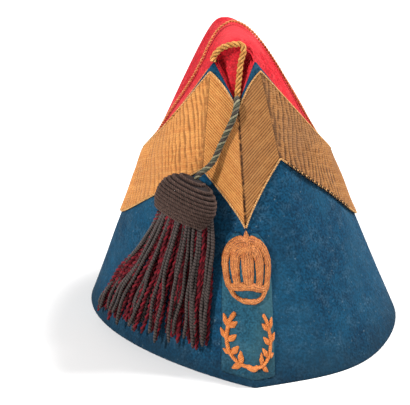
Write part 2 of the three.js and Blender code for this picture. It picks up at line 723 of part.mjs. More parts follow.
const CLOTH_BLUE = { color: 0x25506c, roughness: 0.95 };
const CLOTH_RED = { color: 0xe4434a, roughness: 0.95 };
const GOLD_BRAID = { color: 0xc08345, roughness: 0.7 };
const GREEN_CORD = { color: 0x6a6a58, roughness: 0.85 };
const TASSEL_CORD_BROWN = { color: 0x4e3f3b, roughness: 0.9 };
const PATCH_TEAL = { color: 0x34505c, roughness: 0.95 };
const STITCH_ORANGE = { color: 0xd17f47, roughness: 0.8 };

function addPiece(group, name, geometry, finish) {
  const mesh = new THREE.Mesh(geometry, new THREE.MeshStandardMaterial(finish));
  mesh.name = name;
  group.add(mesh);
}

const cap = new THREE.Group();
cap.name = 'forage_cap';
addPiece(cap, 'turban', turbanGeometry(), CLOTH_BLUE);
addPiece(cap, 'crown', crownGeometry(), CLOTH_RED);
addPiece(cap, 'braid_left', braidGeometry(-1), GOLD_BRAID);
addPiece(cap, 'braid_right', braidGeometry(1), GOLD_BRAID);
addPiece(cap, 'seam_piping', seamPipingGeometry(), GOLD_BRAID);
addPiece(cap, 'edge_piping', edgePipingGeometry(), GOLD_BRAID);
addPiece(cap, 'fold_cord', foldCordGeometry(), GOLD_BRAID);
addPiece(cap, 'tassel_cord', tasselCordGeometry(), GREEN_CORD);
addPiece(cap, 'tassel', tasselGeometry(), TASSEL_CORD_BROWN);
addPiece(cap, 'badge_patch', patchGeometry(), PATCH_TEAL);
addPiece(cap, 'crown_badge', crownBadgeGeometry(), STITCH_ORANGE);
addPiece(cap, 'wreath_badge', wreathGeometry(), STITCH_ORANGE);

export default cap;
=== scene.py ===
"""Looks of the folded forage cap: felt, gold braid, twisted cords, embroidery and a tassel.

Shapes are worked out in millimetres in the part's own frame: the origin is on the
ground at the middle of the rim, +Z is up, the front crease faces -Y and +X is on the
viewer's right. They are written to the meshes in metres.
"""

import logging
from dataclasses import dataclass
from enum import Enum

import bmesh
import bpy
import numpy as np
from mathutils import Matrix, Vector

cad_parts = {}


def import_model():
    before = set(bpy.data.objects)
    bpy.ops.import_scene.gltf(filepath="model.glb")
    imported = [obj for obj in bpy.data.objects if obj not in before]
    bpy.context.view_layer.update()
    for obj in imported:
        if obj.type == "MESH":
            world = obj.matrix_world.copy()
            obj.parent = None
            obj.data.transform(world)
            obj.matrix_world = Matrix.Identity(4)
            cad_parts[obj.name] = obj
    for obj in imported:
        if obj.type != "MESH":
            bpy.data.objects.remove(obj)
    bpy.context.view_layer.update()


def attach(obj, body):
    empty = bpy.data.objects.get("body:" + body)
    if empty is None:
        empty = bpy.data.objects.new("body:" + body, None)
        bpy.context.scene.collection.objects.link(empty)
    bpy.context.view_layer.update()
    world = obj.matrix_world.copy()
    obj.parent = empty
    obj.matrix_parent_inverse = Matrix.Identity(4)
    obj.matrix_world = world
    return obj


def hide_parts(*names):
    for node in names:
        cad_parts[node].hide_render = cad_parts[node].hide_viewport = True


LOG = logging.getLogger("forage_cap")
METRES = 0.001
Row = tuple[float, ...]


class Side(Enum):
    """A half of the cap, as the viewer sees it."""

    LEFT = -1
    RIGHT = 1


def tone(red: int, green: int, blue: int) -> tuple[float, float, float, float]:
    """Turns a colour of 0 to 255, as a screen shows it, into linear light.

    Args:
        red: Red from 0 to 255.
        green: Green from 0 to 255.
        blue: Blue from 0 to 255.

    Returns:
        The linear colour with an alpha of 1.
    """
    shares = np.array([red, green, blue]) / 255
    linear = np.where(shares <= 0.04045, shares / 12.92, ((shares + 0.055) / 1.055) ** 2.4)
    return (float(linear[0]), float(linear[1]), float(linear[2]), 1.0)


@dataclass(frozen=True)
class CapForm:
    """The cap's surfaces: sizes in mm and tables of shares, as in the part's source.

    A turn is a place with its side: 0 is the front crease, 1 and -1 the back crease,
    and a negative turn is on the viewer's left.
    """

    rim_half_width: float = 87.0
    rim_half_length: float = 107.0
    rim_point: float = 1.75
    rim_shift: float = -1.3
    rim_swell: float = 6.5
    swell_place: float = 0.27
    swell_reach: float = 0.115
    tip_height: float = 161.0
    edge_half_width: float = 50.0
    crown_height: float = 170.0
    top_lean: float = -9.0
    lean_power: float = 1.2
    rim_skew: float = -0.12
    turban_wall: float = 2.4
    crown_wall: float = 1.8
    clearance: float = 0.3
    tuck_depth: float = 9.0
    crest_round: float = 28.0
    left_swell: float = -0.2
    right_swell: float = 2.6
    pleat_depth: float = 5.0
    hollow_depth: float = 2.5
    pleat_place: float = 0.57
    pleat_reach: float = 0.14
    fold_push: float = 2.0
    corner_soften: float = 0.03
    front_lift: float = 0.024
    tip_place: float = 0.2
    fold_top: Row = (0.04, -0.36, 0.985)
    # place, across, along, up
    edge_rows: tuple[Row, ...] = (
        (0, 0, -0.505, 0.863),
        (0.2, 0.24, -0.415, 1),
        (0.35, 0.69, -0.245, 0.775),
        (0.5, 1, 0.025, 0.6),
        (0.65, 0.95, 0.3, 0.55),
        (0.82, 0.56, 0.52, 0.635),
        (1, 0, 0.64, 0.775),
    )
    # place, low, high, lift of the low edge on the viewer's right
    braid_rows: tuple[Row, ...] = (
        (0, 0.572, 0.98, 0),
        (0.2, 0.665, 0.974, 0.037),
        (0.35, 0.648, 0.986, 0.025),
        (0.5, 0.578, 0.99, 0.015),
        (0.65, 0.56, 0.99, 0),
        (0.82, 0.6, 0.988, 0),
        (1, 0.66, 0.985, 0),
    )
    # place, sway, along, up
    crest_rows: tuple[Row, ...] = (
        (0.2, 0.06, -0.25, 0.995),
        (0.35, 0.04, -0.13, 1),
        (0.5, 0, 0, 0.995),
        (0.65, -0.05, 0.14, 0.985),
        (0.82, -0.1, 0.28, 0.94),
        (1, -0.14, 0.42, 0.85),
    )
    # side, place, reach, push
    fold_rows: tuple[Row, ...] = (
        (1, 0.2, 0.035, 0.6),
        (1, 0.3, 0.07, -0.8),
        (1, 0.46, 0.1, -0.7),
        (-1, 0.2, 0.035, 0.4),
        (-1, 0.32, 0.07, -0.5),
        (1, 0.76, 0.07, -1),
        (-1, 0.7, 0.08, -0.7),
    )

    def values(self, rows: tuple[Row, ...], place: np.ndarray) -> np.ndarray:
        """Reads a table at places: cubic curves through its rows, with a corner at the tip.

        Args:
            rows: The table, each row starting with its place.
            place: Places from 0 to 1, of any shape.

        Returns:
            The table's other columns, on a last axis added to the shape of place.
        """
        table = np.array(rows, float)
        place = np.asarray(place, float)
        result = np.zeros(place.shape + (table.shape[1] - 1,))
        before_tip = table[:, 0] <= self.tip_place
        after_tip = table[:, 0] >= self.tip_place
        for part, chosen in (
            (table[before_tip], place < self.tip_place),
            (table[after_tip], place >= self.tip_place),
        ):
            if len(part) < 2 or not chosen.any():
                continue
            at, value = part[:, 0], part[:, 1:]
            last = len(at) - 1
            ahead = np.minimum(np.arange(last + 1) + 1, last)
            behind = np.maximum(np.arange(last + 1) - 1, 0)
            slope = (value[ahead] - value[behind]) / (at[ahead] - at[behind])[:, None]
            wanted = place[chosen]
            i = np.clip(np.searchsorted(at, wanted) - 1, 0, last - 1)
            run = (at[i + 1] - at[i])[:, None]
            t = (wanted - at[i])[:, None] / run
            result[chosen] = (
                (2 * t**3 - 3 * t**2 + 1) * value[i]
                + (t**3 - 2 * t**2 + t) * run * slope[i]
                + (3 * t**2 - 2 * t**3) * value[i + 1]
                + (t**3 - t**2) * run * slope[i + 1]
            )
        return result

    def settle(self, side: np.ndarray, points: np.ndarray) -> np.ndarray:
        """Leans the top to the left and skews the rim: x gains lean * height^power.

        Args:
            side: -1 on the viewer's left and 1 on the right.
            points: Points of the even cap, with x measured to their own side.

        Returns:
            The points where they really lie.
        """
        height = np.clip(points[..., 2] / self.crown_height, 0, 1.1)
        across = side * points[..., 0]
        return np.stack(
            [
                across + self.top_lean * height**self.lean_power,
                points[..., 1] + self.rim_skew * across * (1 - height),
                points[..., 2],
            ],
            -1,
        )

    def outwards(self, place: np.ndarray) -> np.ndarray:
        """Gives the level way out of the turban: (sin^0.7, -1.1 cos, 0) of the turn."""
        turn = np.pi * np.asarray(place, float)
        level = np.maximum(np.sin(turn), 0) ** 0.7
        return np.stack([level, -1.1 * np.cos(turn), 0 * turn], -1)

    def rim(self, side: np.ndarray, place: np.ndarray) -> np.ndarray:
        """Gives the rim: a lens of sin^power and cos, with a swell at the right front."""
        turn = np.pi * place
        wide = (self.rim_half_width + side * self.rim_shift) * np.maximum(np.sin(turn), 0) ** (
            self.rim_point
        )
        reach = (place - self.swell_place) / self.swell_reach
        swell = np.where(side > 0, self.rim_swell, 0) * np.exp(-(reach**2))
        base = np.stack([wide, -self.rim_half_length * np.cos(turn), 0 * wide], -1)
        return base + self.outwards(place) * swell[..., None]

    def edge(self, place: np.ndarray) -> np.ndarray:
        """Gives the turban's top edge from its table."""
        sizes = (self.edge_half_width, self.rim_half_length, self.tip_height)
        return self.values(self.edge_rows, place) * np.array(sizes)

    def push(self, side: np.ndarray, place: np.ndarray, share: np.ndarray) -> np.ndarray:
        """Gives the soft folds: bells over place times sin of the share, in mm."""
        total = np.zeros(np.broadcast(side, place, share).shape)
        for fold_side, at, reach, push in self.fold_rows:
            bell = push * np.exp(-(((place - at) / reach) ** 2))
            total = total + np.where(side == fold_side, bell, 0)
        return total * self.fold_push * np.sin(np.pi * np.clip(share, 0, 1))

    def flank(self, turn: np.ndarray, share: np.ndarray, out: np.ndarray | float) -> np.ndarray:
        """Gives points of the turban's wall, from the rim (share 0) to the edge (share 1).

        Args:
            turn: Turns, which may run past 1 or -1.
            share: Shares of the way from the rim to the top edge.
            out: Stand in mm off the outer face.

        Returns:
            The points, in mm.
        """
        turn, share, out = np.broadcast_arrays(turn, share, out)
        turn = (np.asarray(turn, float) + 1) % 2 - 1
        side = np.where(turn < 0, -1, 1)
        place = np.abs(turn)
        low = self.rim(side, place)
        high = self.edge(place)
        level = self.outwards(place) * (out + self.push(side, place, share))[..., None]
        return self.settle(side, low + (high - low) * share[..., None] + level)

    def wall(self, turn: np.ndarray, share: np.ndarray, out: np.ndarray | float) -> np.ndarray:
        """Gives the flank with its corners softened towards the rim.

        Each point is the mean of five neighbours, which stand corner_soften * (1 - share)
        apart, weighted 1, 2, 3, 2, 1.

        Args:
            turn: Turns, which may run past 1 or -1.
            share: Shares of the way from the rim to the top edge.
            out: Stand in mm off the outer face.

        Returns:
            The points, in mm.
        """
        turn, share, out = np.broadcast_arrays(turn, share, out)
        spread = self.corner_soften * np.clip(1 - share, 0, 1)
        total = 0
        for step, weight in ((-2, 1), (-1, 2), (0, 3), (1, 2), (2, 1)):
            total = total + weight * self.flank(turn + step * spread / 2, share, out)
        return total / 9

    def braid_ends(self, turn: np.ndarray) -> tuple[np.ndarray, np.ndarray]:
        """Gives the shares of the braid's lower and upper edge at turns."""
        row = self.values(self.braid_rows, np.abs(turn))
        lift = self.front_lift * (1 - np.clip(np.abs(turn) / self.tip_place, 0, 1) ** 2.5)
        low = row[..., 0] + np.where(turn > 0, row[..., 2], 0)
        return low, np.minimum(row[..., 1] + lift, 0.998)

    def brow(self, side: np.ndarray, place: np.ndarray, inset: float) -> np.ndarray:
        """Gives the quarter arc from a tip to the top of the front fold."""
        turn = np.pi / 2 * np.clip(place / self.tip_place, 0, 1)
        depth = self.turban_wall + self.clearance + inset
        tip = self.edge(np.array(self.tip_place)) - self.outwards(self.tip_place) * depth
        top = (
            side * self.edge_half_width * self.fold_top[0],
            self.rim_half_length * self.fold_top[1] + inset,
            self.crown_height * self.fold_top[2] - inset,
        )
        return np.stack(
            [
                top[0] + (tip[0] - top[0]) * np.sin(turn),
                tip[1] + (top[1] - tip[1]) * np.cos(turn),
                tip[2] + (top[2] - tip[2]) * np.cos(turn),
            ],
            -1,
        )

    def pleat(self, face: np.ndarray, row: np.ndarray) -> np.ndarray:
        """Gives the depth of the fold's two creases (bells over the swing) and its panel."""
        notch = self.edge(np.array(0.0))[2]
        tip = self.edge(np.array(self.tip_place))
        spread = tip[0] / (tip[2] - notch)
        swing = np.abs(face[..., 0]) / np.maximum(face[..., 2] - notch + 3, 1) / spread
        crease = np.exp(-(((swing - self.pleat_place) / self.pleat_reach) ** 2))
        panel = np.clip(2 - 2 * swing, 0, 1)
        depth = self.pleat_depth * crease + self.hollow_depth * panel
        return depth * np.sin(np.pi * np.clip(row, 0, 1)) ** 0.7

    def crown(self, turn: np.ndarray, row: np.ndarray, inset: float = 0.0) -> np.ndarray:
        """Gives points of the crown's cloth.

        Rows -1 to 0 are tucked inside the turban, 0 to 1 climb the front fold, and 1 to 2
        lead up to the crest along z = crest - (hypot(climb * fall, round) - round).

        Args:
            turn: Turns, which may run past 1 or -1.
            row: Rows from -1 to 2.
            inset: Depth in mm into the crown, or a stand off it where it is negative.

        Returns:
            The points, in mm.
        """
        turn, row = np.broadcast_arrays(turn, row)
        turn = (np.asarray(turn, float) + 1) % 2 - 1
        side = np.where(turn < 0, -1, 1)
        place = np.abs(turn)
        depth = self.turban_wall + self.clearance + inset
        sweep = self.outwards(place)
        low, high = self.rim(side, place), self.edge(place)
        edge = high - sweep * depth
        sizes = (self.edge_half_width, self.rim_half_length, self.crown_height)
        crest = self.values(self.crest_rows, np.maximum(place, self.tip_place)) * np.array(sizes)
        crest = crest * np.stack([side, side**2, side**2], -1)
        crest = crest - np.array([0, 0, 1.6 * inset])
        share = 1 - self.tuck_depth / np.linalg.norm(high - low, axis=-1)
        tucked = low + (high - low) * share[..., None]
        tucked = tucked + sweep * (self.push(side, place, share) - depth)[..., None]
        hidden = edge + (tucked - edge) * np.clip(-row, 0, 1)[..., None]
        front = place < self.tip_place
        brow = np.where(front[..., None], self.brow(side, place, inset), edge)
        face = edge + (brow - edge) * np.clip(row, 0, 1)[..., None]
        face[..., 1] += np.where(front, self.pleat(face, row), 0)
        fall = 2 - np.clip(row, 1, 2)
        up = crest + (brow - crest) * fall[..., None]
        drop = np.maximum(crest[..., 2] - brow[..., 2], 0)
        climb = np.sqrt((drop + self.crest_round) ** 2 - self.crest_round**2)
        up[..., 2] = crest[..., 2] - np.hypot(climb * fall, self.crest_round) + self.crest_round
        swell = np.where(side < 0, self.left_swell, self.right_swell)
        up[..., 0] += swell * np.sin(np.pi * fall) * np.minimum(place / self.tip_place, 1)
        higher = np.where((row <= 1)[..., None], face, up)
        return self.settle(side, np.where((row <= 0)[..., None], hidden, higher))


def ripple(first: np.ndarray, second: np.ndarray, seed: int, waves: int = 7) -> np.ndarray:
    """Sums seeded sine waves over two parameters into a soft unevenness from -1 to 1.

    Args:
        first: The first parameter, in radians of a wave of frequency 1.
        second: The second parameter, likewise.
        seed: Seed of the waves.
        waves: How many waves are summed.

    Returns:
        The sum, scaled to about -1 to 1.
    """
    chance = np.random.default_rng(seed)
    total = np.zeros(np.broadcast(first, second).shape)
    for _ in range(waves):
        along, up = chance.uniform(-1, 1, 2)
        total = total + np.sin(along * first + up * second + chance.uniform(0, 2 * np.pi))
    return total / waves**0.5 / 1.4


def grid_faces(rows: int, columns: int, around: bool) -> np.ndarray:
    """Lists the quads of a grid of points.

    Args:
        rows: Rows of points.
        columns: Points in a row.
        around: Whether each row closes on itself.

    Returns:
        The corners of each quad, in turn along and up the grid.
    """
    i, j = np.meshgrid(np.arange(rows - 1), np.arange(columns - (not around)), indexing="ij")
    after = (j + 1) % columns
    corners = [i * columns + j, i * columns + after, (i + 1) * columns + after]
    return np.stack([*corners, (i + 1) * columns + j], -1).reshape(-1, 4)


def grid_uv(uv: np.ndarray) -> np.ndarray:
    """Lists the texture coordinates of a grid's quads from those of its lines.

    Args:
        uv: Coordinates of (rows, columns) lines, where a closed row has one more column.

    Returns:
        Coordinates of each quad's four corners.
    """
    corners = [uv[:-1, :-1], uv[:-1, 1:], uv[1:, 1:], uv[1:, :-1]]
    return np.stack(corners, -2).reshape(-1, 4, 2)


def write_mesh(
    name: str,
    points: np.ndarray,
    faces: list[np.ndarray],
    uv: list[np.ndarray] | None = None,
    marks: dict[str, np.ndarray] | None = None,
) -> bpy.types.Object:
    """Writes arrays into a new mesh object at the origin.

    Args:
        name: Name of the piece.
        points: Points in mm, on a last axis of 3.
        faces: Arrays of faces, each array with its own number of corners.
        uv: For each array of faces, the coordinates of its corners.
        marks: Named numbers, one for each point.

    Returns:
        The smooth-shaded object.
    """
    mesh = bpy.data.meshes.new(name)
    flat = points.reshape(-1, 3) * METRES
    corners = np.concatenate([part.reshape(-1) for part in faces])
    sizes = np.concatenate([np.full(len(part), part.shape[1]) for part in faces])
    mesh.vertices.add(len(flat))
    mesh.vertices.foreach_set("co", flat.reshape(-1))
    mesh.loops.add(len(corners))
    mesh.loops.foreach_set("vertex_index", corners)
    mesh.polygons.add(len(sizes))
    mesh.polygons.foreach_set("loop_start", np.concatenate([[0], np.cumsum(sizes)[:-1]]))
    mesh.polygons.foreach_set("use_smooth", np.ones(len(sizes), bool))
    if uv is not None:
        layer = mesh.uv_layers.new(name="UVMap")
        layer.uv.foreach_set("vector", np.concatenate([part.reshape(-1) for part in uv]))
    for label, values in (marks or {}).items():
        attribute = mesh.attributes.new(label, "FLOAT", "POINT")
        attribute.data.foreach_set("value", values.reshape(-1).astype(np.float32))
    mesh.update(calc_edges=True)
    mesh.validate()
    piece = bpy.data.objects.new(name, mesh)
    bpy.context.scene.collection.objects.link(piece)
    return piece


def weld(piece: bpy.types.Object, distance: float = 0.02) -> None:
    """Merges a piece's points that lie within a distance in mm, which closes its seams."""
    made = bmesh.new()
    made.from_mesh(piece.data)
    bmesh.ops.remove_doubles(made, verts=made.verts, dist=distance * METRES)
    made.to_mesh(piece.data)
    made.free()


def turn_outwards(piece: bpy.types.Object) -> None:
    """Turns the faces of a closed piece outwards."""
    made = bmesh.new()
    made.from_mesh(piece.data)
    bmesh.ops.recalc_face_normals(made, faces=made.faces)
    made.to_mesh(piece.data)
    made.free()


def smooth_path(knots: np.ndarray, step: float) -> np.ndarray:
    """Runs a Catmull-Rom curve through knots and spaces its points evenly.

    Args:
        knots: The knots, in mm.
        step: About how far apart the points are, in mm.

    Returns:
        Points in mm, from the first knot to the last.
    """
    ends = [2 * knots[0] - knots[1], *knots, 2 * knots[-1] - knots[-2]]
    padded = np.array(ends)
    t = np.linspace(0, 1, 24, endpoint=False)[None, :, None]
    a, b, c, d = (padded[k : len(padded) - 3 + k, None, :] for k in range(4))
    curve = b + t / 2 * (c - a + t * (2 * a - 5 * b + 4 * c - d + t * (3 * (b - c) + d - a)))
    dense = np.concatenate([curve.reshape(-1, 3), knots[-1:]])
    lengths = np.concatenate([[0], np.cumsum(np.linalg.norm(np.diff(dense, axis=0), axis=1))])
    even = np.linspace(0, lengths[-1], max(int(round(lengths[-1] / step)), 3) + 1)
    return np.stack([np.interp(even, lengths, dense[:, axis]) for axis in range(3)], -1)


@dataclass(frozen=True)
class Rope:
    """A twisted cord: plies round a middle line, each a circle that touches the next."""

    radius: float
    plies: int
    pitch: float
    sides: int = 16

    def skin(
        self, paths: np.ndarray, facing: np.ndarray, taper: np.ndarray | float = 1.0
    ) -> tuple[np.ndarray, np.ndarray]:
        """Carries the twisted section along paths.

        With n plies, ply circles of radius p stand at d = R / (1 + sin(pi / n)) from the
        middle, p = R - d, and the section's radius at an angle f off a ply's middle is
        d cos f + sqrt(p^2 - d^2 sin^2 f). The section turns once a pitch. One ply is round.

        Args:
            paths: Middle lines, of shape (cords, points, 3) in mm.
            facing: A way that is square to the cords, roughly, on a last axis of 3.
            taper: Share of the radius at each point of the lines.

        Returns:
            Points of shape (cords, points, sides, 3), and texture coordinates with one more
            column: the ply that a point is on, and the length along the cord in mm.
        """
        along = np.gradient(paths, axis=1)
        along /= np.linalg.norm(along, axis=-1, keepdims=True)
        square = facing - (facing * along).sum(-1, keepdims=True) * along
        square /= np.linalg.norm(square, axis=-1, keepdims=True)
        beside = np.cross(along, square)
        steps = np.linalg.norm(np.diff(paths, axis=1), axis=-1)
        length = np.concatenate([np.zeros((len(paths), 1)), np.cumsum(steps, axis=1)], axis=1)
        angle = np.linspace(0, 2 * np.pi, self.sides + 1)
        ply = self.plies * (angle / (2 * np.pi) - length[..., None] / self.pitch)
        middle = self.radius / (1 + np.sin(np.pi / self.plies)) if self.plies > 1 else 0.0
        bead = self.radius - middle
        off = (ply % 1 - 0.5) * 2 * np.pi / self.plies
        under = np.maximum(bead**2 - (middle * np.sin(off)) ** 2, 0)
        reach = np.maximum(middle * np.cos(off) + np.sqrt(under), 0.5 * self.radius)
        reach = reach * np.broadcast_to(taper, length.shape)[..., None]
        points = (
            paths[:, :, None, :]
            + (reach * np.cos(angle))[..., None] * square[:, :, None, :]
            + (reach * np.sin(angle))[..., None] * beside[:, :, None, :]
        )
        uv = np.stack([ply, np.broadcast_to(length[..., None], ply.shape)], -1)
        return points[:, :, :-1], uv


def rope_piece(
    name: str, rope: Rope, paths: np.ndarray, facing: np.ndarray, taper: np.ndarray | float = 1.0
) -> bpy.types.Object:
    """Makes one mesh of twisted cords with closed ends.

    Args:
        name: Name of the piece.
        rope: The cord's section.
        paths: Middle lines, of shape (cords, points, 3) in mm.
        facing: A way that is square to the cords, roughly.
        taper: Share of the radius at each point of the lines.

    Returns:
        The piece.
    """
    points, uv = rope.skin(paths, facing, taper)
    cords, rings, sides, _ = points.shape
    one = grid_faces(rings, sides, True)
    starts = np.arange(cords) * rings * sides
    quads = (one[None] + starts[:, None, None]).reshape(-1, 4)
    ring = np.arange(sides)
    caps = np.concatenate([starts[:, None] + ring[::-1], starts[:, None] + ring + (rings - 1) * sides])
    quad_uv = np.concatenate([grid_uv(part) for part in uv])
    cap_uv = np.zeros((*caps.shape, 2))
    return write_mesh(name, points, [quads, caps], [quad_uv, cap_uv])


class Graph:
    """Makes the nodes of one tree by short calls."""

    def __init__(self, tree: bpy.types.NodeTree) -> None:
        """Starts on an empty tree."""
        self.tree = tree
        self.tree.nodes.clear()

    def node(self, kind: str, inputs: dict | None = None, **settings: object) -> bpy.types.Node:
        """Adds a node.

        Args:
            kind: Type of the node.
            inputs: Values or sockets for its named or numbered inputs.
            **settings: Attributes of the node.

        Returns:
            The node.
        """
        made = self.tree.nodes.new(kind)
        for label, value in settings.items():
            setattr(made, label, value)
        for label, value in (inputs or {}).items():
            self.feed(made.inputs[label], value)
        return made

    def feed(self, socket: bpy.types.NodeSocket, value: object) -> None:
        """Links a socket to an input, or sets the input's value."""
        if isinstance(value, bpy.types.NodeSocket):
            self.tree.links.new(value, socket)
        else:
            socket.default_value = value

    def math(self, operation: str, *values: object, clamp: bool = False) -> bpy.types.NodeSocket:
        """Adds a Math node on values or sockets, and gives its result."""
        made = self.node("ShaderNodeMath", dict(enumerate(values)), operation=operation)
        made.use_clamp = clamp
        return made.outputs[0]

    def mix(self, share: object, first: object, second: object, blend: str = "MIX") -> object:
        """Adds a colour Mix node, and gives its result."""
        made = self.node("ShaderNodeMix", data_type="RGBA", blend_type=blend)
        for index, value in ((0, share), (6, first), (7, second)):
            self.feed(made.inputs[index], value)
        return made.outputs[2]

    def noise(self, vector: object, scale: float, detail: float = 2.0) -> bpy.types.NodeSocket:
        """Adds a Noise node, and gives its value."""
        inputs = {"Vector": vector, "Scale": scale, "Detail": detail}
        return self.node("ShaderNodeTexNoise", inputs).outputs["Fac"]

    def step(self, value: object, low: float, high: float) -> bpy.types.NodeSocket:
        """Rises smoothly from 0 at low to 1 at high."""
        inputs = {"Value": value, "From Min": low, "From Max": high}
        made = self.node("ShaderNodeMapRange", inputs, interpolation_type="SMOOTHSTEP")
        return made.outputs["Result"]


class Effects:
    """Shader node groups that several finishes share, each built once."""

    def __init__(self) -> None:
        """Builds every group."""
        self.nap = self._nap()
        self.thread = self._thread()
        self.age = self._age()

    @staticmethod
    def _start(name: str, inputs: dict[str, str], outputs: dict[str, str]) -> tuple[Graph, object]:
        """Makes an empty group with named sockets.

        Args:
            name: Name of the group.
            inputs: Socket types by input name.
            outputs: Socket types by output name.

        Returns:
            The group's graph and its input node.
        """
        tree = bpy.data.node_groups.new(name, "ShaderNodeTree")
        for label, kind in inputs.items():
            tree.interface.new_socket(label, in_out="INPUT", socket_type=kind)
        for label, kind in outputs.items():
            tree.interface.new_socket(label, in_out="OUTPUT", socket_type=kind)
        graph = Graph(tree)
        return graph, graph.node("NodeGroupInput")

    def _nap(self) -> bpy.types.NodeTree:
        """Makes felted wool: mottled colour, lint, and the height of its matted fibres."""
        sockets = {"Vector": "NodeSocketVector", "Colour": "NodeSocketColor"}
        sockets |= {"Deep": "NodeSocketColor", "Lint": "NodeSocketColor"}
        sockets |= {"Mottle": "NodeSocketFloat", "Lint Share": "NodeSocketFloat"}
        made = {"Colour": "NodeSocketColor", "Height": "NodeSocketFloat"}
        graph, given = self._start("wool_nap", sockets, made)
        vector = given.outputs["Vector"]
        broad = graph.step(graph.noise(vector, 45, 3), 0.35, 0.7)
        cloudy = graph.step(graph.noise(vector, 260, 3), 0.3, 0.72)
        fine = graph.noise(vector, 850, 3)
        patchy = graph.math("MULTIPLY_ADD", cloudy, 0.45, graph.math("MULTIPLY", broad, 0.55))
        share = graph.math("MULTIPLY", patchy, given.outputs["Mottle"], clamp=True)
        colour = graph.mix(share, given.outputs["Colour"], given.outputs["Deep"])
        matted = graph.step(fine, 0.3, 0.7)
        grain = graph.math("MULTIPLY_ADD", matted, 0.8, 0.58)
        colour = graph.mix(1.0, colour, graph.node("ShaderNodeCombineColor", {
            "Red": grain, "Green": grain, "Blue": grain}).outputs[0], "MULTIPLY")
        worn = graph.math("MULTIPLY", graph.step(graph.noise(vector, 150, 5), 0.45, 0.75), matted)
        colour = graph.mix(graph.math("MULTIPLY", worn, 0.16), colour, given.outputs["Lint"])
        specks = graph.step(graph.noise(vector, 620, 1), 0.7, 0.8)
        specks = graph.math("MULTIPLY", specks, given.outputs["Lint Share"])
        colour = graph.mix(specks, colour, given.outputs["Lint"])
        height = graph.math("MULTIPLY_ADD", cloudy, 0.5, graph.math("MULTIPLY", fine, 0.8))
        graph.node("NodeGroupOutput", {"Colour": colour, "Height": height})
        return graph.tree

    def _thread(self) -> bpy.types.NodeTree:
        """Makes rounded threads side by side: a height, a mask of painted shade for the grooves
        between them and uneven tone.
        """
        sockets = {"Phase": "NodeSocketFloat", "Vector": "NodeSocketVector"}
        made = {"Height": "NodeSocketFloat", "Groove": "NodeSocketFloat"}
        made |= {"Tone": "NodeSocketFloat"}
        graph, given = self._start("laid_thread", sockets, made)
        ripple_of = graph.math("MULTIPLY", given.outputs["Phase"], np.pi)
        height = graph.math("ABSOLUTE", graph.math("SINE", ripple_of))
        # Painted shade: the mask is 1 in the grooves between threads, where the height is low.
        groove = graph.step(height, 0.55, 0.1)
        which = graph.math("FLOOR", given.outputs["Phase"])
        tint = graph.node("ShaderNodeTexWhiteNoise", {"W": which}, noise_dimensions="1D")
        haze = graph.noise(given.outputs["Vector"], 500, 2)
        uneven = graph.math("MULTIPLY_ADD", tint.outputs["Value"], 0.4, haze)
        graph.node(
            "NodeGroupOutput",
            {"Height": height, "Groove": groove, "Tone": graph.math("SUBTRACT", uneven, 0.2)},
        )
        return graph.tree

    def _age(self) -> bpy.types.NodeTree:
        """Makes wear and painted shade: a colour fades in soft patches, and darkens towards the ground
        as painted shade.
        """
        sockets = {"Vector": "NodeSocketVector", "Colour": "NodeSocketColor"}
        sockets |= {"Faded": "NodeSocketColor", "Amount": "NodeSocketFloat"}
        graph, given = self._start("faded_patches_and_ground_shade", sockets, {"Colour": "NodeSocketColor"})
        vector = given.outputs["Vector"]
        patch = graph.step(graph.noise(vector, 28, 4), 0.42, 0.68)
        share = graph.math("MULTIPLY", patch, given.outputs["Amount"], clamp=True)
        colour = graph.mix(share, given.outputs["Colour"], given.outputs["Faded"])
        # Painted shade: below about 2 cm the colour darkens towards the ground, with a ragged edge.
        height = graph.node("ShaderNodeSeparateXYZ", {"Vector": vector}).outputs["Z"]
        ragged = graph.math("MULTIPLY_ADD", graph.noise(vector, 55, 4), -0.022, height)
        ground_shade = graph.math("MULTIPLY", graph.step(ragged, 0.012, -0.012), 0.55)
        colour = graph.mix(ground_shade, colour, tone(20, 34, 44))
        graph.node("NodeGroupOutput", {"Colour": colour})
        return graph.tree


def start_material(name: str) -> tuple[bpy.types.Material, Graph]:
    """Makes an empty material with its graph."""
    material = bpy.data.materials.new(name)
    material.use_nodes = True
    return material, Graph(material.node_tree)


def use(graph: Graph, group: bpy.types.NodeTree, inputs: dict) -> bpy.types.Node:
    """Places a node group in a graph."""
    made = graph.node("ShaderNodeGroup")
    made.node_tree = group
    for label, value in inputs.items():
        graph.feed(made.inputs[label], value)
    return made


def finish_surface(
    graph: Graph,
    colour: object,
    height: object,
    depth: float,
    roughness: float,
    sheen: float,
    sheen_tint: tuple = (1.0, 1.0, 1.0, 1.0),
    specular: float = 0.12,
) -> None:
    """Ends a cloth or thread material with its shader.

    Args:
        graph: The material's graph.
        colour: Base colour.
        height: Relief from 0 to 1, or None.
        depth: Depth of the relief in mm.
        roughness: Roughness of the gloss.
        sheen: Strength of the soft glow of fibres seen along the surface.
        sheen_tint: Colour of that glow.
        specular: Strength of the gloss.
    """
    inputs = {"Base Color": colour, "Roughness": roughness, "Sheen Weight": sheen}
    inputs |= {"Sheen Roughness": 0.6, "Sheen Tint": sheen_tint, "Specular IOR Level": specular}
    if height is not None:
        bump = {"Height": height, "Distance": depth * METRES, "Strength": 1.0}
        inputs["Normal"] = graph.node("ShaderNodeBump", bump).outputs["Normal"]
    shader = graph.node("ShaderNodeBsdfPrincipled", inputs)
    graph.node("ShaderNodeOutputMaterial", {"Surface": shader.outputs[0]})


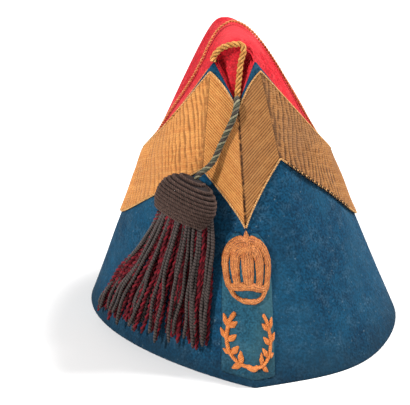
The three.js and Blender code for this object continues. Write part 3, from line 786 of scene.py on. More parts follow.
@dataclass(frozen=True)
class FeltFinish:
    """Felted wool cloth."""

    name: str
    colour: tuple
    deep: tuple
    lint: tuple
    faded: tuple
    mottle: float
    lint_share: float
    fade: float
    nap_depth: float
    sheen: float

    def build(self, effects: Effects) -> bpy.types.Material:
        """Makes the material: mottled wool, faded in patches and given painted shade towards the
        ground, with a napped surface.
        """
        material, graph = start_material(self.name)
        vector = graph.node("ShaderNodeTexCoord").outputs["Object"]
        inputs = {"Vector": vector, "Colour": self.colour, "Deep": self.deep, "Lint": self.lint}
        inputs |= {"Mottle": self.mottle, "Lint Share": self.lint_share}
        nap = use(graph, effects.nap, inputs)
        inputs = {"Vector": vector, "Colour": nap.outputs["Colour"], "Faded": self.faded}
        age = use(graph, effects.age, inputs | {"Amount": self.fade})
        colour = age.outputs["Colour"]
        height = nap.outputs["Height"]
        finish_surface(graph, colour, height, self.nap_depth, 0.95, self.sheen, self.faded)
        return material


@dataclass(frozen=True)
class BraidFinish:
    """Woven gold braid: slanting ribs on the front panel, fine cross ribs on the sides."""

    name: str
    colour: tuple
    ridge: tuple
    groove: tuple
    faded: tuple
    front_pitch: float = 1.2
    side_pitch: float = 1.3
    lean: float = 1.15
    relief: float = 0.4
    # Strength of the painted shade in the valleys of the sides' corrugation.
    valley_shade: float = 0.8

    def build(self, effects: Effects) -> bpy.types.Material:
        """Makes the material from the braid's UV map in mm and its marks front and ridge."""
        material, graph = start_material(self.name)
        vector = graph.node("ShaderNodeTexCoord").outputs["Object"]
        uv = graph.node("ShaderNodeUVMap", uv_map="UVMap").outputs["UV"]
        split = graph.node("ShaderNodeSeparateXYZ", {"Vector": uv}).outputs
        front = graph.node("ShaderNodeAttribute", attribute_name="front").outputs["Fac"]
        ridge = graph.node("ShaderNodeAttribute", attribute_name="ridge").outputs["Fac"]
        waver = graph.math("MULTIPLY", graph.noise(vector, 160, 3), 3.0)
        slant = graph.math("MULTIPLY_ADD", split["X"], -self.lean, split["Y"])
        slant = graph.math("MULTIPLY_ADD", graph.noise(vector, 90, 2), 1.2, slant)
        slant = graph.math("DIVIDE", slant, self.front_pitch * (1 + self.lean**2) ** 0.5)
        level = graph.math("MULTIPLY_ADD", split["X"], 0.06, split["Y"])
        level = graph.math("DIVIDE", graph.math("ADD", level, waver), self.side_pitch)
        ribs = use(graph, effects.thread, {"Phase": slant, "Vector": vector}).outputs
        cross = use(graph, effects.thread, {"Phase": level, "Vector": vector}).outputs

        def either(label: str) -> bpy.types.NodeSocket:
            """Takes an output of the front ribs at the front and of the cross ribs beside it."""
            difference = graph.math("SUBTRACT", ribs[label], cross[label])
            return graph.math("MULTIPLY_ADD", difference, front, cross[label])

        # Painted shade: the grooves between ribs, and the valleys between the sides' coarse ridges,
        # are darkened to the groove colour.
        strength = graph.math("MULTIPLY_ADD", front, 0.44, 0.16)
        groove = graph.math("MULTIPLY", either("Groove"), strength)
        groove = graph.math("MULTIPLY", groove, graph.step(graph.noise(vector, 210, 3), 0.3, 0.6))
        low = graph.math("MULTIPLY", graph.step(ridge, 0.4, 0.0), self.valley_shade)
        low = graph.math("MULTIPLY", low, graph.step(graph.noise(vector, 300, 3), 0.25, 0.55))
        low = graph.math("MULTIPLY", low, graph.math("SUBTRACT", 1.0, front))
        dark = graph.math("MAXIMUM", groove, low, clamp=True)
        broken = graph.step(graph.noise(vector, 380, 2), 0.3, 0.55)
        crease = graph.math("MULTIPLY", graph.step(split["X"], 1.1, 0.4), front)
        mitre = graph.math("MULTIPLY", front, graph.math("SUBTRACT", 1.0, front))
        mitre = graph.math("MULTIPLY", mitre, 3.0, clamp=True)
        seam = graph.math("MULTIPLY", graph.math("MAXIMUM", crease, mitre), broken)
        dark = graph.math("MAXIMUM", dark, seam)
        colour = graph.mix(either("Tone"), self.colour, self.ridge)
        colour = graph.mix(dark, colour, self.groove)
        inputs = {"Vector": vector, "Colour": colour, "Faded": self.faded, "Amount": 0.5}
        colour = use(graph, effects.age, inputs).outputs["Colour"]
        share = graph.math("MULTIPLY_ADD", front, 0.5, 0.5)
        height = graph.math("MULTIPLY", either("Height"), share)
        finish_surface(graph, colour, height, self.relief, 0.6, 0.0)
        return material


@dataclass(frozen=True)
class CordFinish:
    """Twisted cord: each ply has its colour, with fibres laid along it, and painted shade where plies
    meet and between fibres.
    """

    name: str
    plies: tuple[tuple, ...]
    groove: tuple
    fibre_pitch: float = 0.5
    relief: float = 0.12
    roughness: float = 0.7
    starts: float = 2.0
    groove_shade_share: float = 0.45

    def build(self, effects: Effects) -> bpy.types.Material:
        """Makes the material from the cord's UV map: the ply, and the length in mm."""
        material, graph = start_material(self.name)
        vector = graph.node("ShaderNodeTexCoord").outputs["Object"]
        uv = graph.node("ShaderNodeUVMap", uv_map="UVMap").outputs["UV"]
        split = graph.node("ShaderNodeSeparateXYZ", {"Vector": uv}).outputs
        along = graph.math("DIVIDE", split["Y"], self.fibre_pitch)
        phase = graph.math("MULTIPLY_ADD", split["X"], self.starts, along)
        fibres = use(graph, effects.thread, {"Phase": phase, "Vector": vector}).outputs
        which = graph.math("FLOORED_MODULO", graph.math("FLOOR", split["X"]), len(self.plies))
        colour = self.plies[0]
        for index, ply in enumerate(self.plies[1:], 1):
            this = graph.math("COMPARE", which, float(index), 0.1)
            colour = graph.mix(this, colour, ply)
        # Painted shade: the edges of each ply, where it meets the next, and the grooves between fibres
        # are darkened to the groove colour.
        middle = graph.math("SUBTRACT", graph.math("FRACT", split["X"]), 0.5)
        between = 0.0 if len(self.plies) < 2 else 1.0
        edge = graph.step(graph.math("ABSOLUTE", middle), 0.28, 0.5)
        edge = graph.math("MULTIPLY", edge, between)
        tint = graph.math("MULTIPLY_ADD", fibres["Tone"], 0.7, 0.62)
        grey = {"Red": tint, "Green": tint, "Blue": tint}
        colour = graph.mix(1.0, colour, graph.node("ShaderNodeCombineColor", grey).outputs[0],
                           "MULTIPLY")
        fibre_shade = graph.math("MULTIPLY", fibres["Groove"], self.groove_shade_share)
        dark = graph.math("MAXIMUM", edge, fibre_shade)
        colour = graph.mix(dark, colour, self.groove)
        finish_surface(graph, colour, fibres["Height"], self.relief, self.roughness, 0.03)
        return material


@dataclass(frozen=True)
class StitchFinish:
    """Satin stitches, laid across a bar of embroidery."""

    name: str
    colour: tuple
    ridge: tuple
    groove: tuple
    pitch: float = 0.95
    slant: float = 1.2
    row_pitch: float = 0.0

    def build(self, effects: Effects) -> bpy.types.Material:
        """Makes the material from the bar's UV map: across it, and along it in mm."""
        material, graph = start_material(self.name)
        vector = graph.node("ShaderNodeTexCoord").outputs["Object"]
        uv = graph.node("ShaderNodeUVMap", uv_map="UVMap").outputs["UV"]
        split = graph.node("ShaderNodeSeparateXYZ", {"Vector": uv}).outputs
        waver = graph.math("MULTIPLY", graph.noise(vector, 300, 2), 1.5)
        along = graph.math("MULTIPLY_ADD", split["X"], self.slant, split["Y"])
        phase = graph.math("DIVIDE", graph.math("ADD", along, waver), self.pitch)
        threads = use(graph, effects.thread, {"Phase": phase, "Vector": vector}).outputs
        # Painted shade: the grooves between stitches, and between rows of couched thread, are darkened
        # to the groove colour.
        share = 0.3 if self.row_pitch else 0.6
        height, groove = threads["Height"], graph.math("MULTIPLY", threads["Groove"], share)
        if self.row_pitch:
            across = graph.math("DIVIDE", graph.math("ADD", split["X"], waver), self.row_pitch)
            rows = use(graph, effects.thread, {"Phase": across, "Vector": vector}).outputs
            height = graph.math("MULTIPLY", height, rows["Height"])
            broken = graph.step(graph.noise(vector, 420, 3), 0.35, 0.6)
            rows_groove_shade = graph.math("MULTIPLY", rows["Groove"], broken)
            groove = graph.math("MAXIMUM", groove, rows_groove_shade)
        colour = graph.mix(threads["Tone"], self.colour, self.ridge)
        colour = graph.mix(groove, colour, self.groove)
        finish_surface(graph, colour, height, 0.35, 0.55, 0.0, self.ridge, 0.25)
        return material


class Palette:
    """The cap's materials, made once."""

    def __init__(self) -> None:
        """Builds every finish."""
        effects = Effects()
        self.blue = FeltFinish(
            "blue_felt", tone(12, 61, 87), tone(7, 41, 64), tone(108, 126, 130),
            tone(36, 80, 103), 0.9, 0.4, 0.3, 0.35, 0.05,
        ).build(effects)
        self.red = FeltFinish(
            "red_felt", tone(187, 28, 40), tone(165, 12, 27), tone(240, 130, 126),
            tone(212, 74, 78), 0.8, 0.25, 0.5, 0.25, 0.06,
        ).build(effects)
        self.teal = FeltFinish(
            "teal_patch", tone(30, 72, 90), tone(20, 58, 78), tone(110, 135, 135),
            tone(56, 92, 100), 0.9, 0.4, 0.7, 0.3, 0.05,
        ).build(effects)
        # Each braid's third colour is painted shade for its grooves and valleys, and also colours its
        # seam lines. The right braid is darker and browner than the left: partly its own older colour,
        # partly painted shade for light that falls from the left.
        self.braid = {
            Side.LEFT: BraidFinish(
                "gold_braid_left", tone(179, 109, 54), tone(210, 149, 82), tone(82, 46, 20),
                tone(168, 115, 69), valley_shade=0.62,
            ).build(effects),
            Side.RIGHT: BraidFinish(
                "gold_braid_right", tone(138, 87, 45), tone(168, 118, 68), tone(52, 30, 16),
                tone(120, 84, 56),
            ).build(effects),
        }
        # Each cord's last colour is painted shade for the grooves between its plies and fibres.
        self.gold_cord = CordFinish(
            "gold_cord", (tone(206, 150, 80), tone(186, 126, 62)), tone(96, 54, 22),
        ).build(effects)
        self.selvedge = CordFinish(
            "selvedge_cord", (tone(212, 164, 106), tone(192, 140, 84)), tone(140, 92, 50),
        ).build(effects)
        self.pale_cord = CordFinish(
            "pale_piping", (tone(214, 132, 84), tone(196, 112, 66)), tone(130, 50, 34),
        ).build(effects)
        self.mixed_cord = CordFinish(
            "mixed_cord", (tone(76, 78, 62), tone(136, 130, 104), tone(66, 58, 52), tone(104, 98, 80)),
            tone(18, 16, 15),
        ).build(effects)
        self.bullion = CordFinish(
            "grey_bullion", (tone(66, 56, 53),), tone(8, 5, 5), 1.1, 0.45, 0.45, 1.0, 1.0,
        ).build(effects)
        self.wound = CordFinish(
            "wound_cord", (tone(81, 61, 53), tone(70, 50, 43), tone(75, 57, 49)),
            tone(18, 12, 12),
        ).build(effects)
        self.crimson = CordFinish(
            "crimson_strand", (tone(114, 11, 27), tone(82, 6, 18)), tone(20, 2, 6),
        ).build(effects)
        # Each stitch finish's third colour is painted shade for the grooves between its stitches.
        self.satin = StitchFinish(
            "satin_stitch", tone(196, 104, 46), tone(230, 142, 74), tone(110, 50, 20),
        ).build(effects)
        self.couched = StitchFinish(
            "couched_thread", tone(160, 84, 40), tone(206, 132, 72), tone(54, 28, 16), 1.5, 0.8, 1.0,
        ).build(effects)
        self.dark_thread = CordFinish(
            "dark_thread", (tone(36, 26, 26),), tone(16, 11, 11),
        ).build(effects)


def dress(piece: bpy.types.Object, material: bpy.types.Material, slot: str, *nodes: str) -> None:
    """Gives a piece its material and its place on the part.

    Args:
        piece: The piece.
        material: Its material.
        slot: The record's material slot. It is not used.
        *nodes: The part's nodes that it stands for.
    """
    piece.data.materials.append(material)
    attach(piece, "root")
    for node in nodes:
        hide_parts(node)
    LOG.info("%s: %d faces", piece.name, len(piece.data.polygons))


@dataclass
class Studio:
    """The camera at the photograph's angle, a pale floor and soft light."""

    camera_at: Row = (-0.0617, -1.1766, 0.5494)
    camera_aim: Row = (-0.0226, 0.0, 0.063)
    focal_pixels: float = 2262.0
    frame_pixels: float = 410.0
    sensor: float = 36.0
    floor_half: float = 4.0

    def aim(self, item: bpy.types.Object, at: Row, target: Row) -> None:
        """Places an object and turns its -Z to a target."""
        item.location = at
        item.rotation_mode = "QUATERNION"
        item.rotation_quaternion = (Vector(target) - Vector(at)).to_track_quat("-Z", "Y")
        bpy.context.scene.collection.objects.link(item)

    def place_camera(self) -> None:
        """Makes the scene's camera."""
        camera = bpy.data.cameras.new("camera")
        camera.sensor_width = self.sensor
        camera.lens = self.focal_pixels / self.frame_pixels * self.sensor
        camera.clip_start = 0.05
        item = bpy.data.objects.new("camera", camera)
        self.aim(item, self.camera_at, self.camera_aim)
        bpy.context.scene.camera = item

    def lay_floor(self) -> None:
        """Makes the floor, a pale matt plane."""
        half = self.floor_half
        corners = [(-half, -half, 0), (half, -half, 0), (half, half, 0), (-half, half, 0)]
        mesh = bpy.data.meshes.new("floor")
        mesh.from_pydata(corners, [], [(0, 1, 2, 3)])
        floor = bpy.data.objects.new("floor", mesh)
        bpy.context.scene.collection.objects.link(floor)
        material, graph = start_material("pale_floor")
        finish_surface(graph, (0.88, 0.88, 0.88, 1.0), None, 0.0, 0.9, 0.0)
        mesh.materials.append(material)

    def add_light(self, name: str, at: Row, size: float, power: float) -> None:
        """Adds a square area light that faces the cap."""
        light = bpy.data.lights.new(name, "AREA")
        light.size = size
        light.energy = power
        self.aim(bpy.data.objects.new(name, light), at, (0.0, 0.0, 0.08))

    def light_scene(self) -> None:
        """Makes an even white surround, a key from the left and a light behind the right."""
        world = bpy.data.worlds.new("surround")
        world.use_nodes = True
        background = world.node_tree.nodes["Background"]
        background.inputs["Color"].default_value = (1.0, 1.0, 1.0, 1.0)
        background.inputs["Strength"].default_value = 0.38
        bpy.context.scene.world = world
        self.add_light("key", (-1.3, -0.95, 1.15), 0.18, 38.0)
        self.add_light("back", (1.1, 0.25, 1.6), 0.7, 56.0)
        bpy.context.scene.view_settings.view_transform = "Standard"
        bpy.context.scene.view_settings.look = "None"


@dataclass
class TasselHead:
    """The wound dome at the top of the tassel, in the frame of the turban's left front."""

    form: CapForm
    half_width: float = 17.5
    half_depth: float = 12.0
    length: float = 24.0
    top_place: float = 0.178
    top_share: float = 0.668
    foot_place: float = 0.217
    foot_share: float = 0.51
    turns: int = 12
    wrap: Rope = Rope(1.06, 3, 4.2, 12)
    # down, width, depth
    rows: tuple[Row, ...] = (
        (0.02, 0.2, 0.25),
        (0.08, 0.48, 0.5),
        (0.18, 0.72, 0.72),
        (0.34, 0.92, 0.9),
        (0.55, 1, 1),
        (0.78, 0.97, 0.95),
        (0.95, 0.86, 0.82),
        (1, 0.7, 0.62),
    )

    def at(self, place: float, share: float, stand: float) -> np.ndarray:
        """Gives a point that stands off the turban's left front."""
        return self.form.flank(np.array(-place), np.array(share), stand)

    def axes(self) -> tuple[np.ndarray, np.ndarray, np.ndarray, np.ndarray]:
        """Gives the head's top and its ways down, across and out of the turban."""
        top = self.at(self.top_place, self.top_share, 0.92 * self.half_depth)
        down = self.at(self.foot_place, self.foot_share, 1.18 * self.half_depth) - top
        down = down / np.linalg.norm(down)
        across = self.at(self.top_place - 0.04, self.top_share, 0.92 * self.half_depth) - top
        across = across - (across @ down) * down
        across = across / np.linalg.norm(across)
        return top, down, across, -np.cross(across, down)

    def shell(self, down_share: np.ndarray, angle: np.ndarray, inset: float) -> np.ndarray:
        """Gives points of the dome: top + down * L + across * W cos + out * D sin.

        Args:
            down_share: Shares of the head's length.
            angle: Angles round it.
            inset: Depth in mm below its surface.

        Returns:
            The points, in mm.
        """
        top, down, across, out = self.axes()
        table = np.array(self.rows)
        wide = np.interp(down_share, table[:, 0], table[:, 1]) * self.half_width - inset
        deep = np.interp(down_share, table[:, 0], table[:, 2]) * self.half_depth - inset
        return (
            top
            + (down_share * self.length)[..., None] * down
            + (np.maximum(wide, 0.5) * np.cos(angle))[..., None] * across
            + (np.maximum(deep, 0.5) * np.sin(angle))[..., None] * out
        )

    def build(self, palette: Palette) -> list[bpy.types.Object]:
        """Makes the dome's core and the cord that is wound round it.

        Args:
            palette: The materials.

        Returns:
            The wound cord, which stands for the part's tassel, and the core.
        """
        shares = np.linspace(0.02, 1, 24)
        angle = np.linspace(0, 2 * np.pi, 48, endpoint=False)
        core = self.shell(shares[:, None] + 0 * angle, angle + 0 * shares[:, None], 1.3)
        quads = grid_faces(24, 48, True)
        ends = np.stack([np.arange(48)[::-1], np.arange(48) + 23 * 48])
        inside = write_mesh("tassel_core", core, [quads, ends])
        turn_outwards(inside)
        dress(inside, palette.dark_thread, "tassel_bullion")
        wound = np.linspace(0, 1, 1500)
        path = self.shell(0.05 + 0.94 * wound**0.9, 2 * np.pi * self.turns * wound, 0.75)
        top, down, _, _ = self.axes()
        axis = top + ((path - top) @ down)[:, None] * down
        piece = rope_piece("tassel_head", self.wrap, path[None], (path - axis)[None])
        dress(piece, palette.wound, "tassel_bullion", "tassel")
        return [piece, inside]


@dataclass
class TasselStrands:
    """The tassel's hanging strands: grey bullion in front, crimson behind and among it."""

    form: CapForm
    grey_count: int = 25
    red_count: int = 50
    clumps: float = 7.0
    grey: Rope = Rope(1.0, 1, 3.0, 10)
    red: Rope = Rope(1.3, 2, 7.0, 12)
    root_stand: float = 10.5
    # share across the fan, place of the root, place of the end, share of the end
    fan_rows: tuple[Row, ...] = (
        (0, 0.282, 0.436, 0.072),
        (0.2, 0.262, 0.358, 0.09),
        (0.4, 0.236, 0.297, 0.098),
        (0.6, 0.206, 0.233, 0.108),
        (0.8, 0.165, 0.179, 0.105),
        (1, 0.124, 0.152, 0.128),
    )

    def paths(self, across: np.ndarray, stand: np.ndarray, seed: int, loose: float) -> np.ndarray:
        """Hangs strands from the head's foot to their ends.

        The place eases from root to end by 1 - (1 - t)^1.6, the share falls evenly, and
        each strand wavers by seeded sines.

        Args:
            across: Shares across the fan, one a strand.
            stand: Stand of each strand off the turban half-way down, in mm.
            seed: Seed of the waver.
            loose: How far the strands waver, as a share.

        Returns:
            Paths of shape (strands, points, 3), in mm.
        """
        chance = np.random.default_rng(seed)
        table = np.array(self.fan_rows)
        root, end, foot = (np.interp(across, table[:, 0], table[:, k])[:, None] for k in (1, 2, 3))
        t = np.linspace(0, 1, 90)[None, :]
        count = len(across)
        foot = foot + chance.normal(0, 0.014, (count, 1)) * loose
        phase = chance.uniform(0, 2 * np.pi, (4, count, 1))
        sway = 0.005 * np.sin(1.7 * np.pi * t + phase[0]) + 0.0013 * np.sin(4 * np.pi * t + phase[1])
        place = root + (end - root) * (1 - (1 - t) ** 1.6) + sway * loose * np.sin(np.pi * t / 2)
        share = 0.565 + (foot - 0.565) * t
        lift = np.sin(3 * np.pi * t + phase[2]) * 0.7 + np.sin(6 * np.pi * t + phase[3]) * 0.3
        ease = np.minimum(t * 3, 1)
        out = self.root_stand + (stand[:, None] - self.root_stand) * ease * (2 - ease)
        out = out - 1.6 * np.clip(t * 2 - 1, 0, 1) + lift * loose * ease
        return self.form.flank(-place, share, out)

    def build(self, palette: Palette) -> list[bpy.types.Object]:
        """Makes the crimson strands, then the grey ones in front.

        Args:
            palette: The materials.

        Returns:
            The pieces.
        """
        chance = np.random.default_rng(4)
        facing = self.form.outwards(np.array(0.2)) * np.array([-1, 1, 1])
        pieces = []
        for name, rope, count, low, high, first, last, material in (
            ("crimson_strands", self.red, self.red_count, 2.6, 7.9, 0.02, 0.9, palette.crimson),
            ("grey_strands", self.grey, self.grey_count, 4.2, 9.7, 0.0, 1.0, palette.bullion),
        ):
            across = (np.arange(count) + 0.5) / count + chance.normal(0, 0.35, count) / count
            across = first + (last - first) * np.clip(across, 0, 1) ** 0.9
            across = across + 0.026 * np.sin(2 * np.pi * self.clumps * across)
            across = np.clip(across, 0, 1)
            round_off = 1 - np.abs(2 * across - 1) ** 3
            stand = 3.0 + (chance.uniform(low, high, count) - 3.0) * (0.35 + 0.65 * round_off)
            paths = self.paths(across, stand, len(name), 1.0)
            taper = np.minimum(1, 0.55 + 14 * (1 - np.linspace(0, 1, 90)))
            piece = rope_piece(name, rope, paths, facing, taper)
            dress(piece, material, "tassel_bullion")
            pieces.append(piece)
        return pieces


@dataclass
class TasselCord:
    """The free cord from the notch to the tassel, which hangs over the left braid."""

    form: CapForm
    head: TasselHead
    radius: float = 1.8
    braid_thickness: float = 1.2
    pitch: float = 7.6
    wear: float = 0.12
    # place on the viewer's left, share, lift off its seat in mm
    route: tuple[Row, ...] = (
        (0, 1.035, -4.4),
        (0.006, 1.012, -0.6),
        (0.03, 0.955, 0.8),
        (0.06, 0.903, 0.4),
        (0.115, 0.802, 0.4),
        (0.147, 0.725, 2.2),
    )

    def path(self) -> np.ndarray:
        """Gives the cord's middle line, from the notch into the tassel's neck."""
        rows = np.array(self.route)
        stand = 2 * self.form.clearance + self.braid_thickness + self.radius
        knots = self.form.flank(-rows[:, 0], rows[:, 1], stand + rows[:, 2])
        top, down, _, _ = self.head.axes()
        reach = self.head.length * self.head.rows[0][0] - self.form.clearance
        ends = np.stack([top + down * (reach - self.radius), top + down * reach])
        return smooth_path(np.concatenate([knots, ends]), 0.6)

    def build(self, palette: Palette, on_it: list[bpy.types.Object]) -> bpy.types.Object:
        """Args:
            palette: The materials.
            on_it: The tassel's pieces. It is not used.

        Returns:
            The cord.
        """
        path = self.path()
        facing = self.form.outwards(np.array(0.1)) * np.array([-1, 1, 1])
        rope = Rope(self.radius, 4, self.pitch, 32)
        taper = 1 - self.wear * np.linspace(0, 1, len(path))
        piece = rope_piece("hanging_cord", rope, path[None], facing, taper)
        dress(piece, palette.mixed_cord, "mixed_cord", "tassel_cord")
        return piece


@dataclass
class Turban:
    """The blue body: a hollow felt wall with hems at the rim and the top edge."""

    form: CapForm
    columns: int = 440
    outer_rows: int = 96
    inner_rows: int = 20
    hem_rows: int = 5
    unevenness: float = 0.35

    def section(self) -> tuple[np.ndarray, np.ndarray]:
        """Gives the wall's section: shares and stands, up the outside and down the inside.

        The hems are half circles of the wall's half thickness.

        Returns:
            The shares and the stands in mm.
        """
        wall = self.form.turban_wall
        turn = np.linspace(0, np.pi, self.hem_rows + 2)[1:-1]
        outer = np.linspace(0.006, 0.994, self.outer_rows)
        inner = np.linspace(0.994, 0.006, self.inner_rows)
        top = 0.994 + 0.006 * np.sin(turn)
        bottom = 0.006 - 0.006 * np.sin(turn)
        shares = np.concatenate([outer, top, inner, bottom, outer[:1]])
        stands = np.concatenate(
            [
                0 * outer,
                -wall / 2 + wall / 2 * np.cos(turn),
                0 * inner - wall,
                -wall / 2 - wall / 2 * np.cos(turn),
                [0.0],
            ]
        )
        return shares, stands

    def build(self, palette: Palette) -> bpy.types.Object:
        """Makes the felt wall, a little uneven, as one closed piece.

        Args:
            palette: The materials.

        Returns:
            The piece.
        """
        shares, stands = self.section()
        turn = np.linspace(-1, 1, self.columns, endpoint=False)
        uneven = ripple(turn[None] * 42, shares[:-1, None] * 11, 3) * self.unevenness
        outside = (stands[:-1, None] > -0.1) * np.sin(np.pi * shares[:-1, None])
        stand = stands[:-1, None] + uneven * outside
        points = self.form.wall(turn[None], shares[:-1, None], stand)
        points = np.concatenate([points, points[:1]])
        faces = grid_faces(len(shares), self.columns, True)
        piece = write_mesh("turban_felt", points, [faces])
        weld(piece)
        turn_outwards(piece)
        dress(piece, palette.blue, "turban_cloth", "turban")
        return piece


@dataclass
class Crown:
    """The red crown, tucked into the turban and folded in at the front."""

    form: CapForm
    columns: int = 480
    soft_folds: float = 0.8

    def build(self, palette: Palette) -> bpy.types.Object:
        """Makes the outer and the inner skin as one grid: down the inside, up the outside.

        Args:
            palette: The materials.

        Returns:
            The piece.
        """
        turn = np.linspace(-1, 1, self.columns, endpoint=False)[None]
        inner = np.concatenate([np.linspace(2, 1, 14), np.linspace(0.9, 0, 8), [-1]])[:, None]
        outer = np.concatenate(
            [np.linspace(-1, 0, 6)[:-1], np.linspace(0, 1, 46)[:-1], np.linspace(1, 2, 60)]
        )[:, None]
        inside = self.form.crown(turn, inner, self.form.crown_wall)
        outside = self.form.crown(turn, outer, 0.0)
        place = np.abs(turn)
        arcs = np.sin((outer - 1) * 34) * np.exp(-(((outer - 1.22) / 0.16) ** 2))
        arcs = arcs * np.exp(-((place / 0.3) ** 2)) * self.soft_folds
        dents = ripple(turn * 30, outer * 9, 8) * 0.35 * np.clip(outer, 0, 1) * (2 - outer)
        outside[..., 2] += arcs
        sweep = self.form.outwards(place) * dents[..., None]
        sweep[..., 0] *= np.where(turn < 0, -1, 1)
        outside += sweep
        points = np.concatenate([inside, outside])
        piece = write_mesh("crown_felt", points, [grid_faces(len(points), self.columns, True)])
        weld(piece)
        turn_outwards(piece)
        dress(piece, palette.red, "crown_cloth", "crown")
        return piece


@dataclass
class Braid:
    """One half of the gold braid and its edging cords."""

    form: CapForm
    side: Side
    thickness: float = 1.2
    seat: float = 0.3
    ridge_depth: float = 0.9
    density: float = 74.0
    slant: float = 0.05
    rise: Row = (0.36, 0.93)
    rows: int = 90

    def columns(self) -> np.ndarray:
        """Gives the places of the columns, close together on the front panel."""
        front = np.linspace(0, self.form.tip_place, 70, endpoint=False)
        return np.concatenate([front, np.linspace(self.form.tip_place, 1, 420)])

    def ridges(self, place: np.ndarray, share: np.ndarray) -> np.ndarray:
        """Gives the sides' coarse corrugation: sin^2 of a phase that runs with the place.

        Its waves lean by slant * (1 - share), waver by seeded sines, and stand about 3 mm
        apart, closer towards the back.

        Args:
            place: Places.
            share: Shares of the braid's width.

        Returns:
            Heights from 0 to 1.
        """
        slant = self.slant * (1 - share)
        beyond = np.maximum(place - self.form.tip_place, 0)
        waver = 0.45 * ripple(place * 70, share * 9, 5 + self.side.value)
        waver = waver + 0.12 * ripple(place * 260, share * 40, 15 + self.side.value)
        wave = np.sin(np.pi * (self.density * (beyond + slant) + waver)) ** 2
        deep = 0.75 + 0.25 * ripple(place * 110, share * 14, 25 + self.side.value)
        return wave * np.clip(deep, 0.2, 1) * np.clip(beyond / 0.03, 0, 1)

    def build(self, palette: Palette) -> bpy.types.Object:
        """Makes the braid as a strip with rounded edges, closed at the back.

        Args:
            palette: The materials.

        Returns:
            The piece.
        """
        place = self.columns()
        turn = place * self.side.value
        low, high = self.form.braid_ends(turn + 1e-6 * self.side.value)
        width = np.linspace(0, 1, self.rows)
        share = low[:, None] + (high - low)[:, None] * width
        ridge = self.ridges(place[:, None], width[None])
        edge_fall = np.clip(np.minimum(width, 1 - width) / 0.02, 0, 1) ** 0.5
        end_fall = np.clip(place / 0.004, 0, 1) ** 0.5
        soft = 0.12 * ripple(place[:, None] * 60, width[None] * 8, 11 + self.side.value)
        height = self.thickness + self.ridge_depth * (ridge - 0.5) + soft
        height = height * edge_fall * (0.45 + 0.55 * end_fall[:, None])
        front = self.form.wall(turn[:, None], share, self.seat + height)
        back = self.form.wall(turn[:, None], share, self.seat)
        points = np.concatenate([front, back[:, ::-1]], axis=1)
        around = points.shape[1]
        quads = grid_faces(len(place), around, True)
        strip = np.arange(self.rows - 1)
        first = np.stack([strip, around - 1 - strip, around - 2 - strip, strip + 1], -1)
        last = first[:, ::-1] + (len(place) - 1) * around
        middle = self.form.wall(turn, (low + high) / 2, 1.0)
        steps = np.concatenate([[0], np.cumsum(np.linalg.norm(np.diff(middle, axis=0), axis=1))])
        across = np.abs(front[..., 0] - front[:1, :, 0])
        along = np.where(place[:, None] < self.form.tip_place, across, steps[:, None] + 0 * share)
        rise = self.rise[0] * front[..., 1] + self.rise[1] * front[..., 2]
        uv = np.stack([along, rise], -1)
        uv = np.concatenate([uv, uv[:, ::-1], uv[:, :1]], axis=1)
        flat = np.zeros((len(first), 4, 2))
        mark = (place < self.form.tip_place)[:, None] + 0 * points[..., 0]
        crest = np.concatenate([ridge, ridge[:, ::-1]], axis=1)
        piece = write_mesh(
            "braid_" + self.side.name.lower(),
            points,
            [quads, first, last],
            [grid_uv(uv), flat, flat],
            {"front": mark, "ridge": crest},
        )
        piece.name = "woven_braid_" + self.side.name.lower()
        weld(piece, 0.001)
        turn_outwards(piece)
        dress(piece, palette.braid[self.side], "gold_braid", "braid_" + self.side.name.lower())
        return piece

    def build_edging(self, palette: Palette) -> bpy.types.Object:
        """Makes the two thin cords along the braid's edges.

        Args:
            palette: The materials.

        Returns:
            The piece.
        """
        place = np.linspace(0.004, 0.997, 900)
        turn = place * self.side.value
        low, high = self.form.braid_ends(turn)
        stand = self.seat + 0.75 * self.thickness
        paths = np.stack(
            [self.form.wall(turn, low, stand), self.form.wall(turn, high, stand)]
        )
        sweep = self.form.outwards(place) * np.array([self.side.value, 1, 1])
        facing = np.broadcast_to(sweep + np.array([0, 0, 0.4]), paths.shape)
        name = "braid_edging_" + self.side.name.lower()
        piece = rope_piece(name, Rope(0.62, 2, 2.2, 8), paths, facing)
        dress(piece, palette.selvedge, "gold_braid")
        return piece


@dataclass
class EdgeLoops:
    """A row of small stitches over an edge of the braid."""

    form: CapForm
    side: Side
    first: float
    last: float
    count: int
    at_top: bool = False
    thread: Rope = Rope(0.42, 1, 2.0, 8)
    reach: float = 0.011
    stand: float = 1.9

    def build(self, name: str, material: bpy.types.Material) -> bpy.types.Object:
        """Makes the stitches: each is half an ellipse that reaches past the edge.

        Args:
            name: Name of the piece.
            material: The thread's material.

        Returns:
            The piece.
        """
        place = np.linspace(self.first, self.last, self.count)[:, None]
        half = (self.last - self.first) / self.count * 0.36
        bend = np.linspace(0, np.pi, 15)[None]
        turn = (place + half * np.cos(bend)) * self.side.value
        low, high = self.form.braid_ends(turn)
        past = self.reach * (np.sin(bend) - 0.35)
        share = high + past if self.at_top else low - past
        stand = self.stand - 1.1 * np.sin(bend)
        paths = self.form.wall(turn, share, stand)
        facing = self.form.outwards(place) * np.array([self.side.value, 1, 1])
        piece = rope_piece(name, self.thread, paths, facing)
        dress(piece, material, "gold_braid")
        return piece


